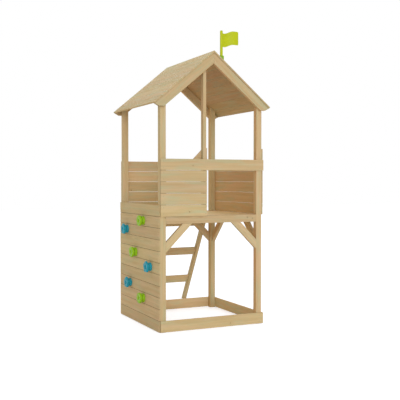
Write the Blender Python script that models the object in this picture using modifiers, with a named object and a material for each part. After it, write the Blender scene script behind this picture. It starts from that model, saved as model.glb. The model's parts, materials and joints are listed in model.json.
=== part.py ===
"""A wooden play tower: four posts, a boarded platform with a den below it, a gabled board
roof, a climbing wall on the left, a ladder at the back and a flag on the roof.

Metres, Z up, the front towards -Y. Every piece is placed from the outer foot of the
front left post and hangs on one empty, which puts the origin on the ground in the
middle of the tower's box.
"""

import bmesh
import bpy
from math import atan2, cos, isclose, pi, radians, sin, sqrt, tan
from mathutils import Vector

# Joinery
CLEAR = 0.0003
ARRIS = 0.003
BOARD_ARRIS = 0.002

# Points and directions nearer than this count as the same
SAME = 0.00001

# The square of posts
WIDTH = 1.200
DEPTH = 1.200
POST = 0.064

# Boards
BOARD_WIDTH = 0.1175
BOARD_GAP = 0.0025
GROUND_GAP = 0.005
BOARD_THICKNESS = 0.016
GROOVE_DEPTH = 0.004

# Rows of boards, counted from the ground
DECK_ROWS = 10
CLIMBING_ROWS = 11
GUARD_ROWS = 5

# Platform
BEAM_THICKNESS = 0.038
BEAM_HEIGHT = 0.079
DECK_THICKNESS = 0.018
DECK_BOARDS = 10
DOORWAY = 0.609
DOOR_POST_WIDTH = 0.037
DOOR_POST_DEPTH = 0.0545
BRACE_WIDTH = 0.076
BRACE_LEG = 0.300

# Hand grips beside the front doorway
GRIP_LENGTH = 0.160
GRIP_OVERHANG = 0.035

# Roof
RIDGE_TOP = 2.947
ROOF_PITCH = radians(39.8)
EAVE_OVERHANG = 0.083
VERGE_OVERHANG = 0.008
ROOF_BOARDS = 8
BARGE_DEPTH = 0.087
BARGE_NOSE_LENGTH = 0.048
BARGE_NOSE_SLOPE = radians(28)

# Ladder
LADDER_WIDTH = 0.606
LADDER_SLOPE = radians(60)
LADDER_BEARING = 0.044
STILE_THICKNESS = 0.038
STILE_DEPTH = 0.064
RUNG_COUNT = 3
RUNG_WIDTH = 0.105
RUNG_THICKNESS = 0.022
FIRST_RUNG = 0.296
RUNG_RISE = 0.382

# Climbing holds: row of the board, distance from the front, kind
HOLD_PLACES = [
    (10, 0.44, "green"),
    (9, 0.95, "blue"),
    (7, 0.68, "green"),
    (6, 0.235, "blue"),
    (4, 0.85, "blue"),
    (3, 0.44, "green"),
]
HOLD_RADIUS = {"green": 0.058, "blue": 0.062}
HOLD_FOOT_RADIUS = {"green": 0.048, "blue": 0.045}
HOLD_NECK_RADIUS = 0.038
HOLD_DEPTH = 0.061
HOLD_DISC_DEPTH = 0.023
HOLD_RIM_EASE = 0.005
HOLD_FOOT_DEPTH = 0.026
HOLD_FOOT_EASE = 0.003
HOLD_WELL_RADIUS = 0.022
HOLD_WELL_FLOOR_RADIUS = 0.012
HOLD_WELL_DEPTH = 0.018
HOLD_STEPS = 30

# Lobes round the disc of a blue hold
LOBES = 5
LOBE_DEPTH = 0.011

# Flag
FLAG_FROM_RIDGE = 0.105
FLAG_FROM_VERGE = 0.046
POLE_RADIUS = 0.015
POLE_ABOVE_RIDGE = 0.225
POLE_STEPS = 20
SOCKET_RADIUS = 0.027
SOCKET_HEIGHT = 0.044
SOCKET_BORE_DEPTH = 0.026
FLAG_WIDTH = 0.187
FLAG_HEIGHT = 0.144
FLAG_DROP = 0.029
FLAG_THICKNESS = 0.005
FLAG_RISE = 0.030
FLAG_RISE_START = 0.1
FLAG_RISE_SHARE = 0.55
FLAG_RIPPLE = 0.008
FLAG_CORNER = 0.012
FLAG_STEPS = 14

# Colours
SOFTWOOD = (0.54, 0.43, 0.23, 1.0)
SHADED_SOFTWOOD = (0.46, 0.36, 0.19, 1.0)
ROOF_SOFTWOOD = (0.50, 0.40, 0.22, 1.0)
GREEN_PLASTIC = (0.24, 0.50, 0.03, 1.0)
BLUE_PLASTIC = (0.03, 0.30, 0.51, 1.0)
LIME_PLASTIC = (0.58, 0.61, 0.03, 1.0)
SOCKET_PLASTIC = (0.26, 0.46, 0.01, 1.0)
WOOD_ROUGHNESS = 0.65
PLASTIC_ROUGHNESS = 0.35

# Places that follow from the sizes above
ROW_PITCH = BOARD_WIDTH + BOARD_GAP
DECK_TOP = GROUND_GAP + DECK_ROWS * ROW_PITCH
DECK_UNDERSIDE = DECK_TOP - DECK_THICKNESS
BEAM_UNDERSIDE = DECK_TOP - BEAM_HEIGHT
DOOR_POST_RIGHT = WIDTH - POST - DOORWAY
DOOR_POST_LEFT = DOOR_POST_RIGHT - DOOR_POST_WIDTH
HALF_SPAN = WIDTH / 2 + EAVE_OVERHANG
EAVE_TOP = RIDGE_TOP - HALF_SPAN * tan(ROOF_PITCH)
ROOF_SLOPE_LENGTH = HALF_SPAN / cos(ROOF_PITCH)
ROOF_FRONT = -BEAM_THICKNESS - VERGE_OVERHANG
ROOF_BACK = DEPTH + BEAM_THICKNESS + VERGE_OVERHANG
LADDER_FOOT = DEPTH + (DECK_TOP - LADDER_BEARING) / tan(LADDER_SLOPE)
LADDER_BACK = LADDER_FOOT + STILE_DEPTH / sin(LADDER_SLOPE)
LADDER_RIGHT = WIDTH - POST
LADDER_LEFT = LADDER_RIGHT - LADDER_WIDTH
TOWER_MIDDLE = Vector((WIDTH / 2, (ROOF_FRONT + LADDER_BACK) / 2, 0.0))

# How a flat outline is turned to stand in a plane of the tower
STANDING = {
    "front": (pi / 2, 0.0, 0.0),
    "side": (pi / 2, 0.0, pi / 2),
}


def clear_scene():
    """Remove every object that is in the file."""
    for thing in list(bpy.data.objects):
        bpy.data.objects.remove(thing, do_unlink=True)


def new_collection(name):
    """Return a new collection in the scene."""
    collection = bpy.data.collections.new(name)
    bpy.context.scene.collection.children.link(collection)
    return collection


def finish(name, colour, roughness):
    """Return the material of one piece."""
    material = bpy.data.materials.new(name + "_finish")
    material.use_nodes = True
    shader = material.node_tree.nodes["Principled BSDF"]
    shader.inputs["Base Color"].default_value = colour
    shader.inputs["Roughness"].default_value = roughness
    shader.inputs["Metallic"].default_value = 0.0
    material.diffuse_color = colour
    return material


def add_piece(name, mesh, colour, roughness=WOOD_ROUGHNESS):
    """Put a mesh in the tower as one named piece."""
    piece = bpy.data.objects.new(name, mesh)
    tower_parts.objects.link(piece)
    piece.parent = tower
    piece.data.materials.append(finish(name, colour, roughness))
    return piece


def ease_edges(shape, along, width):
    """Take the sharp edges off a timber, only along its grain."""
    along = along.normalized()
    edges = []
    for edge in shape.edges:
        run = edge.verts[1].co - edge.verts[0].co
        if run.length > 0 and isclose(abs(run.normalized().dot(along)), 1.0, rel_tol=SAME):
            edges.append(edge)
    bmesh.ops.bevel(shape, geom=edges, offset=width, segments=1, profile=0.5,
                    affect="EDGES", clamp_overlap=True)


def block_mesh(name, size, along=None, ease=0.0):
    """Return the mesh of a sawn block about its own middle."""
    shape = bmesh.new()
    bmesh.ops.create_cube(shape, size=1.0)
    bmesh.ops.scale(shape, vec=size, verts=shape.verts)
    if along is not None:
        ease_edges(shape, along, ease)
    mesh = bpy.data.meshes.new(name)
    shape.to_mesh(mesh)
    shape.free()
    return mesh


def timber(name, low, high, along, colour=SOFTWOOD, ease=ARRIS):
    """Add a straight timber between two corners, its grain along one axis."""
    low = Vector(low)
    high = Vector(high)
    grain = Vector([float(axis == along) for axis in "XYZ"])
    piece = add_piece(name, block_mesh(name, high - low, grain, ease), colour)
    piece.location = (low + high) / 2
    return piece


def outline_mesh(name, outline, thickness):
    """Return the mesh of a flat outline with a thickness, made from a filled curve."""
    curve = bpy.data.curves.new(name + "_outline", "CURVE")
    curve.dimensions = "2D"
    curve.fill_mode = "BOTH"
    curve.extrude = thickness / 2
    spline = curve.splines.new("POLY")
    spline.points.add(len(outline) - 1)
    for point, (across, up) in zip(spline.points, outline):
        point.co = (across, up, 0.0, 1.0)
    spline.use_cyclic_u = True
    drawn = bpy.data.objects.new(name + "_outline", curve)
    bpy.context.scene.collection.objects.link(drawn)
    evaluated = drawn.evaluated_get(bpy.context.evaluated_depsgraph_get())
    mesh = bpy.data.meshes.new_from_object(evaluated)
    bpy.data.objects.remove(drawn, do_unlink=True)
    shape = bmesh.new()
    shape.from_mesh(mesh)
    bmesh.ops.remove_doubles(shape, verts=shape.verts, dist=SAME)
    bmesh.ops.recalc_face_normals(shape, faces=shape.faces)
    shape.to_mesh(mesh)
    shape.free()
    return mesh


def shaped_timber(name, outline, plane, start, thickness, grain=None, colour=SOFTWOOD):
    """Add a timber cut to an outline that stands in the front or the side plane.

    The outline gives places across and up in that plane, start is where the timber
    begins behind it, and grain is the direction in the outline that keeps eased edges.
    """
    mesh = outline_mesh(name, outline, thickness)
    if grain is not None:
        shape = bmesh.new()
        shape.from_mesh(mesh)
        ease_edges(shape, Vector((grain[0], grain[1], 0.0)), ARRIS)
        shape.to_mesh(mesh)
        shape.free()
    piece = add_piece(name, mesh, colour)
    piece.rotation_euler = STANDING[plane]
    middle = start + thickness / 2
    piece.location = (0.0, middle, 0.0) if plane == "front" else (middle, 0.0, 0.0)
    return piece


def boards_section(width, thickness, joints, spread):
    """Return the section across close-laid boards: a V groove on both faces at each joint."""
    section = [(0.0, 0.0)]
    for joint in joints:
        section += [(joint - spread, 0.0), (joint, GROOVE_DEPTH), (joint + spread, 0.0)]
    section += [(width, 0.0), (width, thickness)]
    for joint in reversed(joints):
        section += [(joint + spread, thickness), (joint, thickness - GROOVE_DEPTH),
                    (joint - spread, thickness)]
    section.append((0.0, thickness))
    return section


def row_foot(row):
    """Return the height of the lower edge of a row of boards."""
    return GROUND_GAP + (row - 1) * ROW_PITCH


def roof_top(across):
    """Return the height of the roof's upper face above a place across the front."""
    return RIDGE_TOP - abs(across - WIDTH / 2) * tan(ROOF_PITCH)


def roof_layer(across, depth):
    """Return the height of a plane at a depth below the roof's upper face."""
    return roof_top(across) - depth / cos(ROOF_PITCH)


def layer_across(height, depth):
    """Return where that plane of the left slope passes a height."""
    below_ridge = RIDGE_TOP - depth / cos(ROOF_PITCH) - height
    return WIDTH / 2 - below_ridge / tan(ROOF_PITCH)


def mirrored(outline):
    """Return an outline turned left for right about the middle of the front."""
    return [(WIDTH - across, up) for across, up in outline]


def turned_profile_mesh(name, profile):
    """Return the mesh of a half section, drawn from the top of its axis outwards."""
    mesh = bpy.data.meshes.new(name)
    mesh.from_pydata([(radius, 0.0, height) for radius, height in profile],
                     [(i, i + 1) for i in range(len(profile) - 1)], [])
    return mesh


def turn(piece, steps):
    """Turn a half section round its own Z axis."""
    screw = piece.modifiers.new("turn", "SCREW")
    screw.axis = "Z"
    screw.angle = 2 * pi
    screw.steps = steps
    screw.render_steps = steps
    screw.use_merge_vertices = True
    screw.merge_threshold = SAME
    screw.use_smooth_shade = True


def evaluated_mesh(piece):
    """Return the mesh that a piece's modifiers make."""
    bpy.context.view_layer.update()
    evaluated = piece.evaluated_get(bpy.context.evaluated_depsgraph_get())
    return bpy.data.meshes.new_from_object(evaluated)


def replace_mesh(piece, mesh):
    """Give a piece its finished mesh in place of its modifiers."""
    piece.modifiers.clear()
    old = piece.data
    piece.data = mesh
    bpy.data.meshes.remove(old)


def arc(centre, radius, start, end, count):
    """Return points on an arc, its angles in degrees."""
    points = []
    for i in range(count + 1):
        angle = radians(start + (end - start) * i / count)
        points.append((centre[0] + radius * cos(angle), centre[1] + radius * sin(angle)))
    return points


def make_posts():
    """The four corner posts, cut at the top to the slope of the roof."""
    left_foot = [(0.0, 0.0), (POST, 0.0)]
    left_head = [(across, roof_layer(across, BOARD_THICKNESS) - CLEAR)
                 for across in (POST, 0.0)]
    left = left_foot + left_head
    for depth_name, start in (("front", 0.0), ("rear", DEPTH - POST)):
        for side_name, outline in (("left", left), ("right", mirrored(left))):
            shaped_timber(f"{depth_name}_{side_name}_post", outline, "front", start, POST,
                          grain=(0.0, 1.0))


def make_door_posts():
    """The two posts on the platform that the short boards end on."""
    foot = DECK_TOP + CLEAR
    outline = [(DOOR_POST_LEFT, foot), (DOOR_POST_RIGHT, foot)]
    outline += [(across, roof_layer(across, BOARD_THICKNESS) - CLEAR)
                for across in (DOOR_POST_RIGHT, DOOR_POST_LEFT)]
    for name, start in (("front_door_post", 0.0),
                        ("rear_door_post", DEPTH - DOOR_POST_DEPTH)):
        shaped_timber(name, outline, "front", start, DOOR_POST_DEPTH, grain=(0.0, 1.0))


def make_beams():
    """The beams between the posts, and the joist under the middle of the deck."""
    inner = POST + CLEAR
    for name, start in (("front_beam", 0.0), ("rear_beam", DEPTH - BEAM_THICKNESS)):
        timber(name, (inner, start, BEAM_UNDERSIDE),
               (WIDTH - inner, start + BEAM_THICKNESS, DECK_TOP), "X")
    side_top = DECK_UNDERSIDE - CLEAR
    for name, start in (("left_beam", 0.0), ("right_beam", WIDTH - BEAM_THICKNESS)):
        timber(name, (start, inner, BEAM_UNDERSIDE),
               (start + BEAM_THICKNESS, DEPTH - inner, side_top), "Y")
    middle = WIDTH / 2
    behind_beam = BEAM_THICKNESS + CLEAR
    timber("deck_joist", (middle - BEAM_THICKNESS / 2, behind_beam, BEAM_UNDERSIDE),
           (middle + BEAM_THICKNESS / 2, DEPTH - behind_beam, side_top), "Y")


def cut_corner(deck, name, low, high):
    """Cut a box out of the deck for a post to pass."""
    low = Vector(low)
    high = Vector(high)
    cutter = bpy.data.objects.new(name, block_mesh(name, high - low))
    cutters.objects.link(cutter)
    cutter.parent = tower
    cutter.location = (low + high) / 2
    cutter.hide_render = True
    cutter.display_type = "WIRE"
    notch = deck.modifiers.new(name, "BOOLEAN")
    notch.operation = "DIFFERENCE"
    notch.solver = "EXACT"
    notch.object = cutter


def make_deck():
    """The platform floor: close boards from side to side, notched round the posts."""
    front = BEAM_THICKNESS + CLEAR
    length = DEPTH - 2 * front
    joints = [length * i / DECK_BOARDS for i in range(1, DECK_BOARDS)]
    section = boards_section(length, DECK_THICKNESS, joints, BOARD_GAP / 2)
    outline = [(front + along, DECK_UNDERSIDE + up) for along, up in section]
    deck = shaped_timber("platform_floor", outline, "side", 0.0, WIDTH)
    beyond = POST
    passing = POST + CLEAR
    bottom = DECK_UNDERSIDE - beyond
    top = DECK_TOP + beyond
    for side_name, x_low, x_high in (("left", -beyond, passing),
                                     ("right", WIDTH - passing, WIDTH + beyond)):
        for depth_name, y_low, y_high in (("front", -beyond, passing),
                                          ("rear", DEPTH - passing, DEPTH + beyond)):
            cut_corner(deck, f"{depth_name}_{side_name}_notch",
                       (x_low, y_low, bottom), (x_high, y_high, top))


def brace_outline(near, direction):
    """Return a knee brace between a post's face and the underside of a beam."""
    width = BRACE_WIDTH * sqrt(2)
    top = BEAM_UNDERSIDE - CLEAR
    leg = BRACE_LEG
    face = near + direction * CLEAR
    return [(face, top - leg), (face + direction * leg, top),
            (face + direction * (leg - width), top), (face, top - leg + width)]


def make_braces():
    """Knee braces at the corners of the three open sides."""
    for depth_name, start in (("front", 0.0), ("rear", DEPTH - BEAM_THICKNESS)):
        for side_name, near, direction in (("left", POST, 1), ("right", WIDTH - POST, -1)):
            shaped_timber(f"{depth_name}_{side_name}_brace", brace_outline(near, direction),
                          "front", start, BEAM_THICKNESS, grain=(direction, 1))
    for depth_name, near, direction in (("front", POST, 1), ("rear", DEPTH - POST, -1)):
        shaped_timber(f"right_{depth_name}_brace", brace_outline(near, direction),
                      "side", WIDTH - BEAM_THICKNESS, BEAM_THICKNESS, grain=(direction, 1))


def cross_board(name, row, left, right, front, colour=SOFTWOOD):
    """Add a board that runs from side to side in its row."""
    timber(name, (left, front, row_foot(row)),
           (right, front + BOARD_THICKNESS - CLEAR, row_foot(row) + BOARD_WIDTH),
           "X", colour, BOARD_ARRIS)


def side_board(name, row, colour=SOFTWOOD):
    """Add a board that runs from front to back on the right side."""
    timber(name, (WIDTH + CLEAR, 0.0, row_foot(row)),
           (WIDTH + BOARD_THICKNESS, DEPTH, row_foot(row) + BOARD_WIDTH),
           "Y", colour, BOARD_ARRIS)


def make_boards():
    """The sills near the ground and the boarding round the platform."""
    right_edge = WIDTH + BOARD_THICKNESS
    front = -BOARD_THICKNESS
    back = DEPTH + CLEAR
    cross_board("front_sill", 1, 0.0, right_edge, front)
    cross_board("rear_sill", 1, 0.0, right_edge, back, SHADED_SOFTWOOD)
    side_board("right_sill", 1)
    for i in range(GUARD_ROWS):
        row = DECK_ROWS + 1 + i
        if i < GUARD_ROWS - 1:
            cross_board(f"front_board_{i + 1}", row, 0.0, DOOR_POST_RIGHT, front)
        else:
            cross_board("front_top_rail", row, 0.0, right_edge, front)
        cross_board(f"rear_board_{i + 1}", row, 0.0, DOOR_POST_RIGHT, back, SHADED_SOFTWOOD)
        side_board(f"right_board_{i + 1}", row)


def make_grips():
    """The short boards at hand height beside the front doorway, cut off at 45 degrees."""
    row = DECK_ROWS + GUARD_ROWS + 1
    foot = row_foot(row)
    top = foot + BOARD_WIDTH
    thickness = BOARD_THICKNESS - CLEAR
    end = DOOR_POST_RIGHT + GRIP_OVERHANG
    slant_top = GRIP_LENGTH - BOARD_WIDTH
    door_grip = [(end - GRIP_LENGTH, foot), (end, foot), (end, top), (end - slant_top, top)]
    shaped_timber("door_post_grip", door_grip, "front", DOOR_POST_DEPTH + CLEAR, thickness,
                  grain=(1, 0))
    corner_grip = [(0.0, foot), (GRIP_LENGTH, foot), (slant_top, top), (0.0, top)]
    shaped_timber("right_post_grip", corner_grip, "side", WIDTH + CLEAR, thickness,
                  grain=(1, 0))


def make_climbing_wall():
    """The boarded left side, from just off the ground to one row above the deck."""
    height = CLIMBING_ROWS * ROW_PITCH - BOARD_GAP
    joints = [row * ROW_PITCH - BOARD_GAP / 2 for row in range(1, CLIMBING_ROWS)]
    thickness = BOARD_THICKNESS - CLEAR
    section = boards_section(height, thickness, joints, BOARD_GAP / 2)
    outline = [(-BOARD_THICKNESS + across, GROUND_GAP + up) for up, across in section]
    shaped_timber("climbing_wall", outline, "front", 0.0, DEPTH)


def make_roof():
    """Two slopes of boards that run from front to back and meet at the ridge."""
    meet = BOARD_THICKNESS * tan(ROOF_PITCH)
    joints = [ROOF_SLOPE_LENGTH * i / ROOF_BOARDS for i in range(1, ROOF_BOARDS)]
    section = boards_section(ROOF_SLOPE_LENGTH, BOARD_THICKNESS, joints, BOARD_GAP / 2)
    outline = []
    for along, down in section:
        if along == ROOF_SLOPE_LENGTH:
            along -= meet * down / BOARD_THICKNESS + CLEAR / cos(ROOF_PITCH)
        across = -EAVE_OVERHANG + along * cos(ROOF_PITCH) + down * sin(ROOF_PITCH)
        up = EAVE_TOP + along * sin(ROOF_PITCH) - down * cos(ROOF_PITCH)
        outline.append((across, up))
    length = ROOF_BACK - ROOF_FRONT
    shaped_timber("left_roof_slope", outline, "front", ROOF_FRONT, length,
                  colour=ROOF_SOFTWOOD)
    shaped_timber("right_roof_slope", mirrored(outline), "front", ROOF_FRONT, length,
                  colour=ROOF_SOFTWOOD)


def make_barges():
    """The barges that carry the roof boards, on the outer faces of the posts.

    Each slopes in under the eave, and is then level as far as its lower edge.
    """
    top_depth = BOARD_THICKNESS + CLEAR
    low_depth = BOARD_THICKNESS + BARGE_DEPTH
    ridge = WIDTH / 2 - CLEAR
    tip = -EAVE_OVERHANG + top_depth * sin(ROOF_PITCH)
    level = roof_layer(tip, top_depth) - BARGE_NOSE_LENGTH * tan(BARGE_NOSE_SLOPE)
    left = [(tip, roof_layer(tip, top_depth)), (tip + BARGE_NOSE_LENGTH, level),
            (layer_across(level, low_depth), level),
            (ridge, roof_layer(ridge, low_depth)), (ridge, roof_layer(ridge, top_depth))]
    slope = (cos(ROOF_PITCH), sin(ROOF_PITCH))
    thickness = BEAM_THICKNESS - CLEAR
    for depth_name, start in (("front", -BEAM_THICKNESS), ("rear", DEPTH + CLEAR)):
        shaped_timber(f"{depth_name}_left_barge", left, "front", start, thickness,
                      grain=slope)
        shaped_timber(f"{depth_name}_right_barge", mirrored(left), "front", start, thickness,
                      grain=(-slope[0], slope[1]))


def make_ladder():
    """The ladder that leans on the rear beam: two stiles, and flat rungs between them."""
    against = DEPTH + CLEAR
    bearing = (LADDER_FOOT - against) * tan(LADDER_SLOPE)
    top_back = LADDER_BACK - DECK_TOP / tan(LADDER_SLOPE)
    outline = [(LADDER_FOOT, 0.0), (LADDER_BACK, 0.0), (top_back, DECK_TOP),
               (against, DECK_TOP), (against, bearing)]
    lean = (-cos(LADDER_SLOPE), sin(LADDER_SLOPE))
    for name, start in (("ladder_left_stile", LADDER_LEFT),
                        ("ladder_right_stile", LADDER_RIGHT - STILE_THICKNESS)):
        shaped_timber(name, outline, "side", start, STILE_THICKNESS, grain=lean,
                      colour=SHADED_SOFTWOOD)
    length = LADDER_WIDTH - 2 * STILE_THICKNESS - 2 * CLEAR
    middle_line = (LADDER_FOOT + LADDER_BACK) / 2
    size = Vector((length, RUNG_THICKNESS, RUNG_WIDTH))
    for i in range(RUNG_COUNT):
        name = f"ladder_rung_{i + 1}"
        height = FIRST_RUNG + i * RUNG_RISE
        mesh = block_mesh(name, size, Vector((1.0, 0.0, 0.0)), ARRIS)
        rung = add_piece(name, mesh, SHADED_SOFTWOOD)
        rung.rotation_euler = (pi / 2 - LADDER_SLOPE, 0.0, 0.0)
        rung.location = (LADDER_LEFT + LADDER_WIDTH / 2,
                         middle_line - height / tan(LADDER_SLOPE), height)


def hold_profile(kind):
    """Return the half section of a climbing hold: a disc with a bolt well, a neck, a foot."""
    rim = HOLD_RADIUS[kind]
    foot = HOLD_FOOT_RADIUS[kind]
    well_floor = HOLD_DEPTH - HOLD_WELL_DEPTH
    disc_back = HOLD_DEPTH - HOLD_DISC_DEPTH
    ease = HOLD_RIM_EASE
    profile = [(0.0, well_floor), (HOLD_WELL_FLOOR_RADIUS, well_floor),
               (HOLD_WELL_RADIUS, HOLD_DEPTH)]
    profile += arc((rim - ease, HOLD_DEPTH - ease), ease, 90, 0, 2)
    profile += arc((rim - ease, disc_back + ease), ease, 0, -90, 2)
    profile += [(HOLD_NECK_RADIUS, disc_back),
                (HOLD_NECK_RADIUS, HOLD_FOOT_DEPTH),
                (foot - HOLD_FOOT_EASE, HOLD_FOOT_DEPTH),
                (foot, HOLD_FOOT_DEPTH - HOLD_FOOT_EASE), (foot, 0.0), (0.0, 0.0)]
    return profile


def press_lobes(hold, rim):
    """Draw the rim of a turned hold in between its lobes, the neck and foot left round."""
    mesh = evaluated_mesh(hold)
    middle_of_neck = (HOLD_FOOT_DEPTH + HOLD_DEPTH - HOLD_DISC_DEPTH) / 2
    for vertex in mesh.vertices:
        spread = Vector((vertex.co.x, vertex.co.y)).length
        if vertex.co.z < middle_of_neck or spread < HOLD_NECK_RADIUS:
            continue
        share = (spread - HOLD_NECK_RADIUS) / (rim - HOLD_NECK_RADIUS)
        angle = atan2(vertex.co.y, vertex.co.x)
        drawn_in = LOBE_DEPTH * share * (1 - cos(LOBES * angle)) / 2
        vertex.co.x *= 1 - drawn_in / spread
        vertex.co.y *= 1 - drawn_in / spread
    replace_mesh(hold, mesh)


def make_holds():
    """The climbing holds, each bolted to the middle of a board of the climbing wall."""
    colours = {"green": GREEN_PLASTIC, "blue": BLUE_PLASTIC}
    for number, (row, from_front, kind) in enumerate(HOLD_PLACES, start=1):
        name = f"climbing_hold_{number}"
        hold = add_piece(name, turned_profile_mesh(name, hold_profile(kind)),
                         colours[kind], PLASTIC_ROUGHNESS)
        turn(hold, HOLD_STEPS)
        if kind == "blue":
            press_lobes(hold, HOLD_RADIUS[kind])
        hold.rotation_euler = (0.0, -pi / 2, 0.0)
        hold.location = (-BOARD_THICKNESS - CLEAR, from_front,
                         row_foot(row) + BOARD_WIDTH / 2)


def make_flag_pole(across, along):
    """The pole with its round head, and the socket that stands on the slope."""
    top = RIDGE_TOP + POLE_ABOVE_RIDGE
    socket_top = roof_top(across) + SOCKET_HEIGHT
    bore_floor = socket_top - SOCKET_BORE_DEPTH
    foot = bore_floor + CLEAR - top
    head = arc((0.0, -POLE_RADIUS), POLE_RADIUS, 90, 0, 4)
    profile = [(0.0, 0.0)] + head[1:] + [(POLE_RADIUS, foot), (0.0, foot)]
    pole = add_piece("flag_pole", turned_profile_mesh("flag_pole", profile), LIME_PLASTIC,
                     PLASTIC_ROUGHNESS)
    turn(pole, POLE_STEPS)
    pole.location = (across, along, top)

    bore = POLE_RADIUS + CLEAR
    reach = roof_top(across) - roof_top(across + SOCKET_RADIUS)
    cup = [(0.0, bore_floor - socket_top), (bore, bore_floor - socket_top), (bore, 0.0),
           (SOCKET_RADIUS, 0.0), (SOCKET_RADIUS, -SOCKET_HEIGHT - reach),
           (0.0, -SOCKET_HEIGHT - reach)]
    socket = add_piece("flag_socket", turned_profile_mesh("flag_socket", cup),
                       SOCKET_PLASTIC, PLASTIC_ROUGHNESS)
    turn(socket, POLE_STEPS)
    socket.location = (across, along, socket_top)
    seat_on_slope(socket)


def seat_on_slope(socket):
    """Cut the foot of the socket along the upper face of the roof."""
    mesh = evaluated_mesh(socket)
    shape = bmesh.new()
    shape.from_mesh(mesh)
    plane_point = Vector((0.0, 0.0, -SOCKET_HEIGHT + CLEAR))
    plane_normal = Vector((sin(ROOF_PITCH), 0.0, cos(ROOF_PITCH)))
    everything = list(shape.verts) + list(shape.edges) + list(shape.faces)
    bmesh.ops.bisect_plane(shape, geom=everything, dist=SAME, plane_co=plane_point,
                           plane_no=plane_normal, clear_inner=True)
    open_edges = [edge for edge in shape.edges if edge.is_boundary]
    bmesh.ops.edgeloop_fill(shape, edges=open_edges)
    bmesh.ops.recalc_face_normals(shape, faces=shape.faces)
    shape.to_mesh(mesh)
    shape.free()
    replace_mesh(socket, mesh)


def flag_lift(share):
    """Return how far the flag's waved edges rise at a share of its width."""
    along = min(max((share - FLAG_RISE_START) / FLAG_RISE_SHARE, 0.0), 1.0)
    return FLAG_RISE * (1 - cos(pi * along)) / 2


def corner_tuck(share):
    """Return how far the flag's edges come in to round its free corners."""
    into_corner = max(share * FLAG_WIDTH - (FLAG_WIDTH - FLAG_CORNER), 0.0)
    return FLAG_CORNER - sqrt(max(FLAG_CORNER ** 2 - into_corner ** 2, 0.0))


def make_flag(across, along):
    """The moulded flag beside the top of the pole, with a gentle wave."""
    shape = bmesh.new()
    bmesh.ops.create_grid(shape, x_segments=FLAG_STEPS, y_segments=1, size=0.5)
    foot = RIDGE_TOP + POLE_ABOVE_RIDGE - FLAG_DROP - FLAG_HEIGHT
    near_pole = across + POLE_RADIUS + CLEAR
    for vertex in shape.verts:
        share = vertex.co.x + 0.5
        height = FLAG_HEIGHT - 2 * corner_tuck(share)
        up = FLAG_HEIGHT / 2 + vertex.co.y * height + flag_lift(share)
        ripple = FLAG_RIPPLE * sin(2 * pi * share)
        vertex.co = (share * FLAG_WIDTH, ripple, up)
    mesh = bpy.data.meshes.new("flag")
    shape.to_mesh(mesh)
    shape.free()
    flag = add_piece("flag", mesh, LIME_PLASTIC, PLASTIC_ROUGHNESS)
    flag.location = (near_pole, along, foot)
    sheet = flag.modifiers.new("thickness", "SOLIDIFY")
    sheet.thickness = FLAG_THICKNESS
    sheet.offset = 0.0


clear_scene()
tower_parts = new_collection("play_tower")
cutters = new_collection("cutters")
tower = bpy.data.objects.new("tower", None)
tower_parts.objects.link(tower)
tower.location = -TOWER_MIDDLE

make_posts()
make_door_posts()
make_beams()
make_deck()
make_braces()
make_boards()
make_grips()
make_climbing_wall()
make_roof()
make_barges()
make_ladder()
make_holds()
flag_across = WIDTH / 2 + FLAG_FROM_RIDGE
flag_along = ROOF_FRONT + FLAG_FROM_VERGE
make_flag_pole(flag_across, flag_along)
make_flag(flag_across, flag_along)
bpy.context.view_layer.update()
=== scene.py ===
"""The finish of a wooden play tower: sawn and planed timbers with real boards, screws and
bolts, moulded climbing holds and flag, and the treated softwood that they are made of.

Laid out as an add-on, and run as a script. Sizes are in metres.
"""

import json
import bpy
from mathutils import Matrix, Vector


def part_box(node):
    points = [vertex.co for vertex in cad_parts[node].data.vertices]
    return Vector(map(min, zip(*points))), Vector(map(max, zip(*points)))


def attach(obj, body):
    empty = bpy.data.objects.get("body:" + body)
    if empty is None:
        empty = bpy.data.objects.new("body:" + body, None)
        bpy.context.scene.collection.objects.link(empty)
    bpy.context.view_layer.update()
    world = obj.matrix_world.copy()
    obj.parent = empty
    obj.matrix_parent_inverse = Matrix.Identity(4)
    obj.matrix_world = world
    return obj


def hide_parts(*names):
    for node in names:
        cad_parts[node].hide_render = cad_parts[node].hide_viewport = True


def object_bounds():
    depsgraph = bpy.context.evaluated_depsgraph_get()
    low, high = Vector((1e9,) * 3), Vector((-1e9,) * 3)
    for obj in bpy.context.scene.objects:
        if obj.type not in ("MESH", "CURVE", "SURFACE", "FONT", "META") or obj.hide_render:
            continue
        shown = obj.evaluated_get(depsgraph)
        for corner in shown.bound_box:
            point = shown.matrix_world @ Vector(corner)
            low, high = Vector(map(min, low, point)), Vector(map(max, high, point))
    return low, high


bl_info = {
    "name": "Wooden play tower",
    "version": (1, 0, 0),
    "blender": (4, 5, 0),
    "location": "View3D > Sidebar > Play tower",
    "description": "Builds the finished timbers, fixings, holds and flag of a play tower",
    "category": "Object",
}

from math import atan2, cos, pi, radians, sin, tan
from random import Random

import bmesh
import bpy
from bpy.props import (
    FloatProperty,
    FloatVectorProperty,
    IntProperty,
    PointerProperty,
)
from mathutils import Euler, Matrix, Vector

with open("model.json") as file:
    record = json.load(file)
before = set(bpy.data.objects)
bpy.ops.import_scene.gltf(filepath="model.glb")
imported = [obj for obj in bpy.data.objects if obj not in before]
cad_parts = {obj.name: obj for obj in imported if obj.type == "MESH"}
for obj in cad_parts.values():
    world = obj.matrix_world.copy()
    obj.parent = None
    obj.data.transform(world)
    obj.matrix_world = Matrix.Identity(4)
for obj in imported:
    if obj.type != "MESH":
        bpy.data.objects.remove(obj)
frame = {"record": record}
CAD_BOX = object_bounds()
SLOTS = {part["node"]: part["material_slot"] for part in frame["record"]["subparts"]}

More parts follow.
